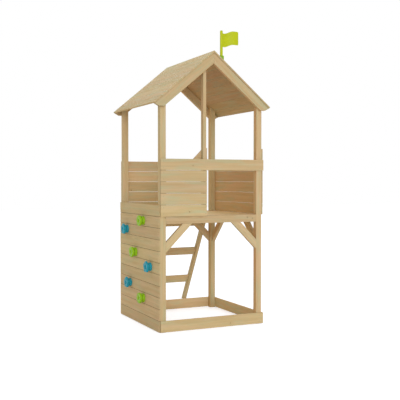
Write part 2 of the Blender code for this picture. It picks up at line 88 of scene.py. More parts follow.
RIGHT, LEFT = Vector((1.0, 0.0, 0.0)), Vector((-1.0, 0.0, 0.0))
BACK, FRONT = Vector((0.0, 1.0, 0.0)), Vector((0.0, -1.0, 0.0))
UP, DOWN = Vector((0.0, 0.0, 1.0)), Vector((0.0, 0.0, -1.0))
SIDES = {"left": -1.0, "right": 1.0}

# Turns that bring a timber modelled along X to lie along each axis of the tower
ALONG_X = Euler((0.0, 0.0, 0.0))
ALONG_Y = Euler((0.0, 0.0, pi / 2))
UPRIGHT = Euler((0.0, -pi / 2, 0.0))

# How far a board stays back at a joint, and the clearance between faces that nearly meet
SEAM = 0.001
LIFT = 0.0002
# How much longer a timber is at each end before it is sawn
OVERSIZE = 0.08
# Points nearer than this are one
SAME_POINT = 0.00001
# How far a face turns along the grain to be end grain, and up or down to be a long edge
END_GRAIN = 0.6
LONG_EDGE = 0.7
# Edges are eased where their faces meet at more than this angle, in a timber and the flag
TIMBER_FOLD = 0.7
FLAG_FOLD = 1.0


def node_box(name):
    """Return the lowest and highest corners of one solid of the frame."""
    low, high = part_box(name)
    return Vector(low), Vector(high)


def node_middle(name):
    """Return the middle of one solid of the frame."""
    low, high = node_box(name)
    return (low + high) / 2


# Where the middle of the room over the platform is, and how far a face turns to it to get
# painted warm bounce light and shade
ROOM_HEIGHT = 0.8
ROOM = node_middle("platform_floor") + ROOM_HEIGHT * UP
TURNED_IN = 0.45


# Sizes and colours


def metres(name, description, default):
    """Describe a length."""
    return FloatProperty(name=name, description=description, default=default, unit="LENGTH")


def degrees(name, description, default):
    """Describe an angle, with its default in degrees."""
    return FloatProperty(name=name, description=description, default=radians(default),
                         subtype="ANGLE")


def tint(name, description, default, most=1.0):
    """Describe a colour."""
    return FloatVectorProperty(name=name, description=description, default=default,
                               min=0.0, max=most, subtype="COLOR")


def plain(name, description, default, **limits):
    """Describe a plain number."""
    return FloatProperty(name=name, description=description, default=default, **limits)


def whole(name, description, default):
    """Describe a number of like things."""
    return IntProperty(name=name, description=description, default=default, min=1)


class TimberSizes(bpy.types.PropertyGroup):
    """Sizes of the timbers that the frame's boxes don't tell."""

    roof_pitch: degrees("Roof pitch", "Slope of both sides of the roof", 39.8)
    ladder_slope: degrees("Ladder slope", "Slope of the stiles from the ground", 60.0)
    barge_depth: metres("Barge depth", "Depth of the barges, square to the slope", 0.087)
    barge_nose_slope: degrees(
        "Barge nose slope", "Slope at which the barges are sawn in under the eave", 28.0)
    brace_width: metres(
        "Brace width", "Width of the knee braces, square to their length", 0.076)
    stile_depth: metres(
        "Stile depth", "Depth of the ladder's stiles, square to their length", 0.064)
    rung_width: metres("Rung width", "Width of the ladder's flat rungs", 0.105)
    rung_thickness: metres("Rung thickness", "Thickness of the ladder's flat rungs", 0.022)
    arris: metres("Arris", "Radius of the planed edges of posts, beams and braces", 0.003)
    board_arris: metres("Board arris", "Radius of the planed edges of the boards", 0.0009)
    saw_ease: metres("Saw cut ease", "Width of the sanded edge round a saw cut", 0.0007)
    tongue: metres("Tongue thickness", "Thickness of the tongues in the boards' joints", 0.004)
    front_tongue: metres(
        "Front tongue height", "How far the front boards' tongues reach into a joint", 0.0010)
    rear_tongue: metres(
        "Rear tongue height", "How far the rear boards' tongues reach into a joint", 0.0004)
    right_tongue: metres(
        "Right tongue height", "How far the right boards' tongues reach into a joint", 0.0015)
    climbing_boards: whole("Climbing wall boards", "Rows of boards in the climbing wall", 11)
    deck_boards: whole("Deck boards", "Boards across the platform", 10)
    roof_boards: whole("Roof boards", "Boards on each slope of the roof", 8)


class WoodLooks(bpy.types.PropertyGroup):
    """Colours and figure of the treated softwood."""

    pale: tint("Early wood", "Colour of the pale wood between the rings",
               (0.632, 0.476, 0.245))
    dark: tint("Late wood", "Colour of the darker rings", (0.515, 0.363, 0.171))
    treated: tint("Treatment", "Green grey cast that the preservative leaves",
                  (0.480, 0.450, 0.250))
    blush: tint("Blush", "Pinkish cast where the preservative took less",
                (0.640, 0.440, 0.248))
    # Painted warm bounce light and shade: faces turned in on the room are made warmer, the
    # roof's underside darker
    sheltered: tint("Sheltered tint", "Painted warm bounce light and shade on wood turned in on the room",
                    (1.12, 0.99, 0.89), 2.0)
    # Painted shade on the faces deep in the boards' joints
    joint: tint("Joint tint", "Painted shade on wood deep in a joint", (0.34, 0.28, 0.22))
    knot: tint("Knots", "Colour of the heart of a knot", (0.235, 0.130, 0.055))
    ring_gap: metres("Ring gap", "Distance between two rings", 0.0046)
    relief: metres("Relief", "Height of the rings and fibres on a planed face", 0.0006)
    tone_spread: plain("Tone spread", "How far one board's lightness is from the next",
                       0.12, min=0.0, max=1.0)


class PlasticLooks(bpy.types.PropertyGroup):
    """Colours of the moulded pieces and the steel."""

    green: tint("Green", "Green climbing holds", (0.277, 0.515, 0.009))
    blue: tint("Blue", "Blue climbing holds", (0.016, 0.300, 0.372))
    lime: tint("Lime", "Flag and its pole", (0.500, 0.550, 0.010))
    socket: tint("Socket", "Socket of the flag pole", (0.250, 0.440, 0.010))
    steel: tint("Steel", "Yellow passivated screws and bolts", (0.46, 0.38, 0.22))
    # Modelled screws, coloured near black as painted shade where dark dots show in the front
    # beam
    dark_steel: tint("Dark steel", "The stouter screws in the front beam",
                     (0.105, 0.060, 0.022))
    scuffed: tint("Scuffed", "Plastic where it is worn", (0.80, 0.80, 0.75))
    roughness: plain("Roughness", "Roughness of the plastic where it isn't worn", 0.42,
                     min=0.0, max=1.0)
    relief: metres("Relief", "Height of the fine waves in the plastic's skin", 0.00012)


class MouldSizes(bpy.types.PropertyGroup):
    """Sizes of the climbing holds and the flag."""

    green_foot: metres("Green foot radius", "Radius of the foot of a green hold", 0.048)
    blue_foot: metres("Blue foot radius", "Radius of the foot of a blue hold", 0.045)
    foot_depth: metres("Foot depth", "How far a hold's foot stands out from the wall", 0.026)
    neck_radius: metres(
        "Neck radius", "Radius of the neck between a hold's foot and its disc", 0.038)
    disc_depth: metres("Disc depth", "Thickness of the disc that is gripped", 0.023)
    dish: metres("Dish", "How far the disc's face is hollowed between its rim and well", 0.0012)
    mouth_dish: metres("Mouth dish", "How far the well's mouth lies below the rim", 0.0008)
    rim_round: metres("Rim rounding", "Radius of the two edges of the disc's rim", 0.006)
    well_radius: metres("Well radius", "Radius of the mouth of the bolt's well", 0.022)
    well_floor: metres("Well floor radius", "Radius of the floor of the bolt's well", 0.012)
    well_depth: metres("Well depth", "Depth of the bolt's well", 0.018)
    well_round: metres("Well rounding", "Radius of the edges of the bolt's well", 0.004)
    lobes: whole("Lobes", "Lobes round a blue hold", 5)
    lobe_depth: metres(
        "Lobe depth", "How far a blue hold's rim is drawn in between its lobes", 0.011)
    flag_thickness: metres("Flag thickness", "Thickness of the moulded flag", 0.004)
    flag_rise: metres("Flag rise", "How far the waved edges of the flag rise", 0.030)
    flag_ripple: metres("Flag ripple", "How far the flag waves to either side", 0.008)
    flag_corner: metres("Flag corner", "Radius of the flag's free corners", 0.012)


class FixingSizes(bpy.types.PropertyGroup):
    """Sizes of the screws and bolts."""

    screw_radius: metres("Screw head radius", "Radius of a countersunk screw head", 0.0045)
    beam_screw_radius: metres(
        "Beam screw head radius", "Radius of the heads of the screws in the front beam", 0.0065)
    bolt_radius: metres(
        "Bolt head radius", "Radius of the domed bolt heads in the climbing holds", 0.0085)
    board_edge: metres(
        "Edge distance", "Distance of the screws from a board's long edges", 0.026)


class StageSizes(bpy.types.PropertyGroup):
    """Camera and light."""

    camera_place: FloatVectorProperty(
        name="Camera place",
        description="Where the camera stands, from the middle of the tower's foot",
        default=(-3.407, -7.8181, 1.575),
        subtype="TRANSLATION",
    )
    camera_yaw: degrees(
        "Camera yaw", "How far the camera looks to the right of straight back", 25.39)
    camera_pitch: degrees("Camera pitch", "How far the camera looks down", 1.5355)
    camera_lens: plain(
        "Camera lens", "Focal length in millimetres on a 36 mm sensor", 64.85)
    sky_strength: plain(
        "Sky strength", "Strength of the even light from all round", 0.592)
    key_strength: plain(
        "Key strength", "Strength of the broad light from the front", 1.25)
    key_colour: tint("Key colour", "Colour of the broad light from the front",
                     (0.94, 1.00, 1.18), 2.0)
    key_azimuth: degrees(
        "Key azimuth", "How far the broad light shines to the right of straight back", 12.0)
    key_height: degrees(
        "Key height", "How high the broad light stands above the horizon", 14.0)
    fill_strength: plain(
        "Fill strength", "Strength of the broad light from behind", 0.8)
    fill_azimuth: degrees(
        "Fill azimuth", "How far the light from behind shines to the right of straight back",
        200.0)
    fill_height: degrees(
        "Fill height", "How high the light from behind stands above the horizon", 30.0)
    softness: degrees("Softness", "How wide both broad lights are, seen from the tower", 40.0)
    floor_size: metres("Floor size", "Side of the floor", 60.0)


# Working by hand on one piece


def leave_edit_mode():
    """Go back to object mode."""
    if bpy.context.mode != "OBJECT":
        bpy.ops.object.mode_set(mode="OBJECT")


def select_only(*pieces):
    """Select these objects alone, or none, and make the last one active."""
    leave_edit_mode()
    bpy.ops.object.select_all(action="DESELECT")
    for piece in pieces:
        piece.select_set(True)
        bpy.context.view_layer.objects.active = piece


def settle(piece):
    """Put an object's place, turn and scale into its mesh."""
    select_only(piece)
    bpy.ops.object.transform_apply(location=True, rotation=True, scale=True)


def name_piece(piece, name):
    """Name an object and its mesh."""
    piece.name = name
    piece.data.name = name
    return piece


def add_block(name, size, place=(0.0, 0.0, 0.0)):
    """Add a block of a size about a place."""
    select_only()
    bpy.ops.mesh.primitive_cube_add(size=1.0, location=place)
    block = name_piece(bpy.context.object, name)
    block.scale = size
    settle(block)
    return block


def edit(piece, everything=False):
    """Open a piece in edit mode, with nothing or everything selected."""
    select_only(piece)
    bpy.ops.object.mode_set(mode="EDIT")
    bpy.ops.mesh.select_mode(type="EDGE")
    bpy.ops.mesh.select_all(action="SELECT" if everything else "DESELECT")


def choose(piece, kind, wanted):
    """Select the edges or the faces that a test picks out, and say if there were any."""
    bpy.ops.mesh.select_mode(type=kind)
    shape = bmesh.from_edit_mesh(piece.data)
    chosen = [part for part in (shape.edges if kind == "EDGE" else shape.faces)
              if wanted(part)]
    for part in chosen:
        part.select_set(True)
    bmesh.update_edit_mesh(piece.data)
    return bool(chosen)


def round_edges(piece, wanted, width, segments):
    """Bevel the edges that a test picks out."""
    edit(piece)
    if choose(piece, "EDGE", wanted):
        bpy.ops.mesh.bevel(offset=width, segments=segments, affect="EDGES")
    leave_edit_mode()


def folded(angle):
    """Return the test that picks out the edges whose faces meet at more than an angle."""
    return lambda edge: edge.is_manifold and edge.calc_face_angle() > angle


def cut_off(piece, point, towards):
    """Saw a piece along a plane, and take away what lies towards a direction."""
    edit(piece, everything=True)
    bpy.ops.mesh.bisect(plane_co=point, plane_no=towards, use_fill=True,
                        clear_outer=True, threshold=SAME_POINT)
    leave_edit_mode()


def apply_modifier(piece, kind, **settings):
    """Add a modifier, set it up and apply it."""
    select_only(piece)
    bpy.ops.object.modifier_add(type=kind)
    modifier = piece.modifiers[-1]
    for key, value in settings.items():
        setattr(modifier, key, value)
    bpy.ops.object.modifier_apply(modifier=modifier.name)


def smooth(piece, angle):
    """Shade a piece smooth but for edges sharper than an angle in degrees."""
    select_only(piece)
    bpy.ops.object.shade_smooth_by_angle(angle=radians(angle))
    apply_modifier(piece, "WEIGHTED_NORMAL", keep_sharp=True)


def join(name, pieces):
    """Join pieces into one."""
    select_only(*pieces)
    if len(pieces) > 1:
        bpy.ops.object.join()
    return name_piece(bpy.context.object, name)


def fit(piece, material, slot=None, *nodes):
    """Give a piece its material, tie it to the tower and let it stand for solids."""
    piece.data.materials.clear()
    piece.data.materials.append(shared_material(material))
    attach(piece, "root")
    if nodes:
        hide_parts(*nodes)


# Materials


class Nodes:
    """A node tree and the ways to add to it. Each gives back the new node's result."""

    def __init__(self, tree):
        self.tree = tree

    def feed(self, socket, value):
        """Set an input, or link another node's output to it."""
        if isinstance(value, bpy.types.NodeSocket):
            self.tree.links.new(value, socket)
        else:
            socket.default_value = value

    def add(self, kind, feeds=None, **settings):
        """Add a shader node, set it up, feed its inputs and return its outputs."""
        node = self.tree.nodes.new("ShaderNode" + kind)
        for key, value in settings.items():
            setattr(node, key, value)
        for key, value in (feeds or {}).items():
            self.feed(node.inputs[key], value)
        return node.outputs

    def maths(self, operation, *values):
        """Calculate with numbers."""
        return self.add("Math", dict(enumerate(values)), operation=operation)[0]

    def vector(self, operation, *values):
        """Calculate with vectors."""
        outputs = self.add("VectorMath", dict(enumerate(values)), operation=operation)
        return outputs["Value" if operation == "LENGTH" else "Vector"]

    def total(self, start, *parts):
        """Add up a start and shares of other values."""
        for value, share in parts:
            start = self.maths("MULTIPLY_ADD", value, share, start)
        return start

    def stretch(self, value, low, high, new_low=0.0, new_high=1.0, kind="LINEAR"):
        """Bring a value from one range to another, clamped."""
        feeds = dict(enumerate((value, low, high, new_low, new_high)))
        return self.add("MapRange", feeds, interpolation_type=kind)[0]

    def blend(self, share, first, second, mode="MIX"):
        """Mix two colours by a share."""
        return self.add("Mix", {0: share, 6: first, 7: second}, data_type="RGBA",
                        blend_type=mode, clamp_factor=True)[2]

    def shade(self, colour, value, **feeds):
        """Make a colour lighter or darker."""
        return self.add("HueSaturation", {"Color": colour, "Value": value, **feeds})[0]

    def noise(self, vector, scale, detail, roughness=0.5):
        """Noise on a vector that is first stretched along each of its axes."""
        feeds = {"Vector": self.vector("MULTIPLY", vector, scale), "Scale": 1.0,
                 "Detail": detail, "Roughness": roughness}
        return self.add("TexNoise", feeds)["Fac"]


def opaque(colour, lightness=1.0):
    """Return a colour with its alpha, made lighter or darker."""
    return (*(part * lightness for part in colour), 1.0)


def start_group(name, outputs, **inputs):
    """Make a shader node group with named sockets. inputs are names by kind."""
    group = bpy.data.node_groups.new(name, "ShaderNodeTree")
    sockets = [(socket, kind, "INPUT") for kind, names in inputs.items() for socket in names]
    sockets += [(socket, "Color" if socket == "Color" else "Float", "OUTPUT")
                for socket in outputs]
    for socket, kind, way in sockets:
        group.interface.new_socket(name=socket, in_out=way,
                                   socket_type="NodeSocket" + kind)
    entry = group.nodes.new("NodeGroupInput").outputs
    leave = group.nodes.new("NodeGroupOutput").inputs
    return Nodes(group), entry, leave


# Knots lie in cells of this many to the metre along and across the log. The share of
# cells that has one, and a knot's heart and halo, fade over these ranges.
KNOT_CELLS = (3.1, 9.0)
KNOT_SHARE = (0.965, 0.985)
KNOT_HEART = (0.0085, 0.0045)
KNOT_HALO = (0.22, 0.02)
# Where the late wood sets in and ends, in each turn from ring to ring
LATE_RISE = (0.35, 0.86)
LATE_FALL = (1.0, 0.90)
# Noise on the wood: how often it changes to the metre along and across, and its detail
WAVE = ((1.3, 7.0, 7.0), 2.0)
FINE_WAVE = ((9.0, 40.0, 40.0), 2.0)
STREAK = ((1.1, 34.0, 34.0), 3.0, 0.6)
CLOUD = ((3.6, 26.0, 26.0), 2.0)
FLUSH = ((3.0, 20.0, 20.0), 2.0)
FIBRE = ((22.0, 900.0, 900.0), 2.0, 0.6)
PORE = ((60.0, 2400.0, 2400.0), 1.0)
# Where the flush is read, so that it doesn't follow the cloud
FLUSH_PLACE = (7.3, 3.1, 1.7)
# The ranges of that noise over which streaks, treatment and blush set in
STREAK_RANGE = (0.30, 0.72)
CLOUD_RANGE = (0.46, 0.70)
FLUSH_RANGE = (0.48, 0.72)
# How far waves and knots bend the rings, and how far the log tapers in a metre
WAVE_BEND = 0.034
FINE_BEND = 0.0022
KNOT_BEND = 0.016
TAPER = 0.006
# How strongly rings, blush and knots colour the wood
RING_SHARE = 0.55
FLUSH_SHARE = 0.50
HALO_SHARE = 0.45
HEART_SHARE = 0.80
# How much fibres and end grain change its lightness
FIBRE_TONE = 0.10
END_TONE = -0.14
# The hues of the boards: the first, how far they spread, and how they are dealt out
FIRST_HUE = 0.494
HUE_SPREAD = 0.012
HUE_DEAL = 7.31


def softwood_group():
    """Rings round a pith, streaks, fibres, knots and the cast of the treatment, with painted
    warm bounce light and shade on faces turned in on the room, and painted shade deep in the
    joints.

    Grain is the place in the log: along it, then across it both ways.
    """
    nodes, entry, leave = start_group(
        "Softwood figure", ("Color", "Roughness", "Height"), Vector=["Grain"],
        Float=["Board", "End Grain", "Sheltered", "Joint", "Cast", "Streaks", "Ring Gap",
               "Tone Spread"],
        Color=["Pale", "Dark", "Treated", "Blush", "Knot", "Sheltered Tint", "Joint Tint"])
    grain = entry["Grain"]
    along, across, deep = nodes.add("SeparateXYZ", {0: grain})

    # Knots are placed aslant, so that each face of a timber cuts them to a round spot
    aslant = nodes.add("CombineXYZ", {"X": along, "Y": nodes.maths("ADD", across, deep)})[0]
    cell_place = nodes.vector("MULTIPLY", aslant, (*KNOT_CELLS, 0.0))
    cells = nodes.add("TexVoronoi", {"Vector": cell_place, "Scale": 1.0, "Randomness": 0.55},
                      voronoi_dimensions="2D")
    offset = nodes.vector("SUBTRACT", cell_place, cells["Position"])
    metre_offset = nodes.vector("MULTIPLY", offset,
                                (1 / KNOT_CELLS[0], 1 / KNOT_CELLS[1], 0.0))
    knot_gap = nodes.vector("LENGTH", metre_offset)
    cell_tone = nodes.add("SeparateColor", {0: cells["Color"]})[0]
    has_knot = nodes.stretch(cell_tone, *KNOT_SHARE)
    heart = nodes.maths("MULTIPLY", has_knot,
                        nodes.stretch(knot_gap, *KNOT_HEART, kind="SMOOTHSTEP"))
    halo = nodes.maths("MULTIPLY", has_knot,
                       nodes.stretch(cells["Distance"], *KNOT_HALO, kind="SMOOTHSTEP"))

    # Rings, bent by the log's own waves and round the knots
    radius = nodes.maths("SQRT", nodes.total(0.0, (across, across), (deep, deep)))
    bent = nodes.total(radius, (nodes.noise(grain, *WAVE), WAVE_BEND),
                       (nodes.noise(grain, *FINE_WAVE), FINE_BEND), (halo, KNOT_BEND),
                       (along, TAPER))
    turns = nodes.maths("FRACT", nodes.maths("DIVIDE", bent, entry["Ring Gap"]))
    ring = nodes.maths("MULTIPLY", nodes.stretch(turns, *LATE_RISE, kind="SMOOTHSTEP"),
                       nodes.stretch(turns, *LATE_FALL, kind="SMOOTHSTEP"))
    fibre = nodes.noise(grain, *FIBRE)
    fibre_swing = nodes.maths("SUBTRACT", fibre, 0.5)
    pore = nodes.noise(grain, *PORE)

    # Colours: rings and broad streaks, the treatment, the blush and the knots
    aside = nodes.vector("ADD", grain, FLUSH_PLACE)
    streaks = nodes.stretch(nodes.noise(grain, *STREAK), *STREAK_RANGE, 0.0,
                            entry["Streaks"])
    cast = nodes.stretch(nodes.noise(grain, *CLOUD), *CLOUD_RANGE, 0.0, entry["Cast"])
    flush = nodes.stretch(nodes.noise(aside, *FLUSH), *FLUSH_RANGE, 0.0, FLUSH_SHARE)
    wood = entry["Pale"]
    for share, paint in ((nodes.total(streaks, (ring, RING_SHARE)), "Dark"),
                         (cast, "Treated"), (flush, "Blush"),
                         (nodes.maths("MULTIPLY", halo, HALO_SHARE), "Dark"),
                         (nodes.maths("MULTIPLY", heart, HEART_SHARE), "Knot")):
        wood = nodes.blend(share, wood, entry[paint])
    # Painted light: faces turned in on the room take warm bounce light and shade, faces deep in
    # a joint the shade of the gap
    for place in ("Sheltered", "Joint"):
        wood = nodes.blend(entry[place], wood,
                           nodes.blend(1.0, wood, entry[place + " Tint"], "MULTIPLY"))

    # Each board has its own lightness and a slightly warmer or colder hue
    board_swing = nodes.maths("SUBTRACT", entry["Board"], 0.5)
    lightness = nodes.total(1.0, (board_swing, entry["Tone Spread"]),
                            (fibre_swing, FIBRE_TONE), (entry["End Grain"], END_TONE))
    warmth = nodes.maths("FRACT", nodes.maths("MULTIPLY", entry["Board"], HUE_DEAL))
    nodes.feed(leave["Color"], nodes.shade(
        wood, lightness, Hue=nodes.total(FIRST_HUE, (warmth, HUE_SPREAD))))

    # Rings and fibres stand up a little from the planed face
    nodes.feed(leave["Height"], nodes.total(0.0, (ring, 0.45), (fibre, 0.40), (pore, 0.15),
                                            (heart, -0.25)))
    nodes.feed(leave["Roughness"], nodes.total(0.72, (ring, -0.12), (fibre_swing, 0.14),
                                               (entry["End Grain"], 0.12)))


# Noise on moulded plastic and zinc, and the range that most of it lies in
MOTTLE = ((18.0, 18.0, 18.0), 3.0)
SCUFF = ((60.0, 60.0, 260.0), 4.0, 0.7)
PEEL = ((420.0, 420.0, 420.0), 2.0)
SPANGLE = ((900.0, 900.0, 900.0), 2.0)
MOST = (0.3, 0.7)


def moulding_group():
    """The faint mottle, flow marks and scuffs of moulded plastic."""
    nodes, entry, leave = start_group(
        "Moulded plastic", ("Color", "Roughness", "Height"), Vector=["Place"],
        Color=["Base", "Scuffed"], Float=["Gloss Roughness"])
    mottle = nodes.noise(entry["Place"], *MOTTLE)
    worn = nodes.stretch(nodes.noise(entry["Place"], *SCUFF), 0.60, 0.72)
    toned = nodes.shade(entry["Base"], nodes.stretch(mottle, *MOST, 0.94, 1.05))
    nodes.feed(leave["Color"], nodes.blend(nodes.maths("MULTIPLY", worn, 0.12), toned,
                                           entry["Scuffed"]))
    nodes.feed(leave["Roughness"], nodes.total(
        entry["Gloss Roughness"], (worn, 0.16),
        (nodes.maths("SUBTRACT", mottle, 0.5), 0.10)))
    nodes.feed(leave["Height"], nodes.noise(entry["Place"], *PEEL))


def plating_group():
    """The dull, spangled surface of zinc plating."""
    nodes, entry, leave = start_group("Zinc plating", ("Color", "Roughness"),
                                      Vector=["Place"], Color=["Base"])
    spangle = nodes.noise(entry["Place"], *SPANGLE)
    nodes.feed(leave["Color"], nodes.shade(
        entry["Base"], nodes.stretch(spangle, *MOST, 0.82, 1.08)))
    nodes.feed(leave["Roughness"], nodes.stretch(spangle, *MOST, 0.38, 0.56))


GROUP_MAKERS = {
    "Softwood figure": softwood_group,
    "Moulded plastic": moulding_group,
    "Zinc plating": plating_group,
}


def start_material(name):
    """Make a material and return it with its nodes and its shader."""
    material = bpy.data.materials.new(name)
    material.use_nodes = True
    tree = material.node_tree
    return material, Nodes(tree), tree.nodes["Principled BSDF"]


BUMP_STRENGTH = 0.6


def dress(nodes, shader, group, feeds, relief=0.0, **own):
    """Bring a group's colour, roughness and height to the shader, and set its own inputs."""
    if group not in bpy.data.node_groups:
        GROUP_MAKERS[group]()
    skin = nodes.add("Group", feeds, node_tree=bpy.data.node_groups[group])
    nodes.feed(shader.inputs["Base Color"], skin["Color"])
    nodes.feed(shader.inputs["Roughness"], skin["Roughness"])
    if relief:
        bump = nodes.add("Bump", {"Height": skin["Height"], "Distance": relief,
                                  "Strength": BUMP_STRENGTH})
        nodes.feed(shader.inputs["Normal"], bump["Normal"])
    for key, value in own.items():
        shader.inputs[key].default_value = value


def softwood(name, lightness=1.025, inside=1.0, cast=0.75, streaks=0.85):
    """Make a treated softwood.

    It is lighter or darker as a whole, its painted warm bounce light and shade inside the tower
    is stronger or weaker, and it shows more or less of the treatment and of the broad streaks.
    """
    looks = bpy.context.scene.tower_wood
    material, nodes, shader = start_material(name)
    grain = nodes.add("Attribute", attribute_name="grain")["Vector"]
    # The tints of the painted warm bounce light and shade, scaled by inside, and of the painted
    # joint shade
    feeds = {"Grain": grain, "Cast": cast, "Streaks": streaks, "Ring Gap": looks.ring_gap,
             "Tone Spread": looks.tone_spread, "Joint Tint": opaque(looks.joint),
             "Sheltered Tint": opaque(looks.sheltered, inside)}
    for key in ("board", "end_grain", "sheltered", "joint"):
        feeds[key.replace("_", " ").title()] = nodes.add(
            "Attribute", attribute_name=key)["Fac"]
    for key in ("pale", "dark", "treated", "blush", "knot"):
        feeds[key.title()] = opaque(getattr(looks, key), lightness)
    dress(nodes, shader, "Softwood figure", feeds, looks.relief,
          **{"Specular IOR Level": 0.08})
    return material


def moulded_plastic(name, colour, shine=0.18):
    """Make a moulded plastic of one colour."""
    looks = bpy.context.scene.tower_plastic
    material, nodes, shader = start_material(name)
    feeds = {"Place": nodes.add("TexCoord")["Object"], "Gloss Roughness": looks.roughness,
             "Base": opaque(getattr(looks, colour)), "Scuffed": opaque(looks.scuffed)}
    dress(nodes, shader, "Moulded plastic", feeds, looks.relief,
          **{"Specular IOR Level": shine})
    return material


def plated_steel(name, colour):
    """Make a zinc plated steel of one colour."""
    looks = bpy.context.scene.tower_plastic
    material, nodes, shader = start_material(name)
    feeds = {"Place": nodes.add("TexCoord")["Object"],
             "Base": opaque(getattr(looks, colour))}
    dress(nodes, shader, "Zinc plating", feeds, Metallic=1.0)
    return material


# What each material is made by, and what it is made with
MATERIALS = {
    "Treated softwood": (softwood, {}),
    # The roof's inside turns its painted tint into painted shade under the roof
    "Roof softwood": (softwood, {"lightness": 1.10, "inside": 0.735, "cast": 0.95,
                                 "streaks": 1.0}),
    "Wall softwood": (softwood, {"lightness": 1.045, "cast": 0.45}),
    "Ladder softwood": (softwood, {"lightness": 1.065}),
    # Lighter copies of the same softwood, as painted light where light reaches into the tower
    "Rear softwood": (softwood, {"lightness": 1.15}),
    "Sill softwood": (softwood, {"lightness": 1.22}),
    "Deck softwood": (softwood, {"lightness": 1.51}),
    "Green plastic": (moulded_plastic, {"colour": "green"}),
    "Blue plastic": (moulded_plastic, {"colour": "blue"}),
    "Lime plastic": (moulded_plastic, {"colour": "lime", "shine": 0.12}),
    "Socket plastic": (moulded_plastic, {"colour": "socket"}),
    "Plated steel": (plated_steel, {"colour": "steel"}),
    # Plated steel darkened to near black as painted shade
    "Dark steel": (plated_steel, {"colour": "dark_steel"}),
}


def shared_material(name):
    """Return a material, made when it is first asked for."""
    if name in bpy.data.materials:
        return bpy.data.materials[name]
    make, settings = MATERIALS[name]
    return make(name, **settings)


# Timber


def write_attribute(mesh, name, kind, domain, values):
    """Store one value for each point or face of a mesh."""
    attribute = mesh.attributes.new(name, kind, domain)
    key = "vector" if kind == "FLOAT_VECTOR" else "value"
    for item, value in zip(attribute.data, values):
        setattr(item, key, value)


# Where a timber's middle lay in the log: along it, aside of the pith, and away from it
ALONG_LOG = (0.0, 20.0)
ASIDE_OF_PITH = (-0.03, 0.03)
FROM_PITH = (0.022, 0.075)


def lay_grain(piece, seat):
    """Say where each point of a timber lay in its log, which faces are end grain, and which get
    painted warm bounce light and shade.

    seat is the matrix that brought the timber from its own frame, with the grain along
    X, to its place in the tower.
    """
    chance = Random(piece.name)
    side = chance.choice((-1.0, 1.0))
    pith = Vector((chance.uniform(*ALONG_LOG), chance.uniform(*ASIDE_OF_PITH),
                   side * chance.uniform(*FROM_PITH)))
    tone = chance.random()
    back = seat.inverted()
    grain = (seat.to_3x3() @ RIGHT).normalized()
    mesh = piece.data
    points, faces = mesh.vertices, mesh.polygons
    write_attribute(mesh, "grain", "FLOAT_VECTOR", "POINT",
                    [back @ point.co + pith for point in points])
    write_attribute(mesh, "board", "FLOAT", "POINT", [tone] * len(points))
    write_attribute(mesh, "end_grain", "FLOAT", "FACE",
                    [float(abs(face.normal.dot(grain)) > END_GRAIN) for face in faces])
    # Faces turned in on the room get painted warm bounce light and shade
    write_attribute(mesh, "sheltered", "FLOAT", "FACE",
                    [painted_shade_share(face.center, face.normal) for face in faces])


def painted_shade_share(place, normal):
    """Say how much painted warm bounce light and shade a face gets: one turned in on the room,
    not up.
    """
    inward = normal.dot((ROOM - place).normalized())
    return float(inward > TURNED_IN) * (1.0 - abs(normal.y)) * (1.0 - max(normal.z, 0.0))


def turn_along(length_way, width_way):
    """Return the turn that lays a timber's length and width along two directions."""
    axes = (length_way, width_way, length_way.cross(width_way))
    return Matrix(axes).transposed().to_euler()


def seat_at(place, turn):
    """Return the matrix that turns a timber and puts it in place."""
    return Matrix.Translation(place) @ turn.to_matrix().to_4x4()


def saw_timber(name, size, place, turn=ALONG_X, cuts=(), arris=None, notches=()):
    """Model one timber: plane its long edges, put it in place, saw it and ease the cuts.

    size is its length, width and thickness. A cut is a point and the direction that is
    sawn away. A notch is the low and high corners of what is cut out of it.
    """
    sizes = bpy.context.scene.tower_timber
    timber = add_block(name, size)
    round_edges(timber, lambda edge: abs((edge.verts[1].co - edge.verts[0].co).x)
                > SAME_POINT, arris or sizes.arris, 3)
    timber.matrix_world = seat_at(place, turn)
    settle(timber)
    for point, towards in cuts:
        cut_off(timber, point, towards)
    for low, high in notches:
        cutter = add_block("notch", high - low, (low + high) / 2)
        apply_modifier(timber, "BOOLEAN", operation="DIFFERENCE", solver="EXACT",
                       object=cutter)
        bpy.data.objects.remove(cutter, do_unlink=True)
    round_edges(timber, folded(TIMBER_FOLD), sizes.saw_ease, 1)
    smooth(timber, 40)
    lay_grain(timber, seat_at(place, turn))
    return timber


def straight_timber(name, turn, low, high, arris=None, cuts=(), notches=()):
    """Model a timber that fills a box, along the axis that the turn gives."""
    back = turn.to_matrix().inverted()
    size = Vector([abs(part) for part in back @ (high - low)])
    return saw_timber(name, size, (low + high) / 2, turn, cuts, arris, notches)


# The softwood of the pieces that aren't like the rest, by how their solids' names begin; the
# rear, sill and deck copies are made lighter as painted light
FINISHES = {
    "left_roof": "Roof softwood",
    "right_roof": "Roof softwood",
    "climbing_wall": "Wall softwood",
    "ladder": "Ladder softwood",
    "rear_board": "Rear softwood",
    "rear_sill": "Sill softwood",
    "right_sill": "Rear softwood",
    "platform_floor": "Deck softwood",
}


def fill_solid(node, turn, arris=None, cuts=()):
    """Model a timber that fills its solid's box, and let it stand for it."""
    fit_timber(straight_timber(node + "_timber", turn, *node_box(node), arris, cuts), node)


def fit_timber(timber, node):
    """Finish a timber in its own softwood, and let it stand for its solid."""
    finish = next((kind for start, kind in FINISHES.items() if node.startswith(start)),
                  "Treated softwood")
    fit(timber, finish, SLOTS[node], node)


def paint_joint_shade(piece, wanted):
    """Paint shade on the faces of a board that lie deep in a joint."""
    write_attribute(piece.data, "joint", "FLOAT", "FACE",
                    [float(wanted(face)) for face in piece.data.polygons])


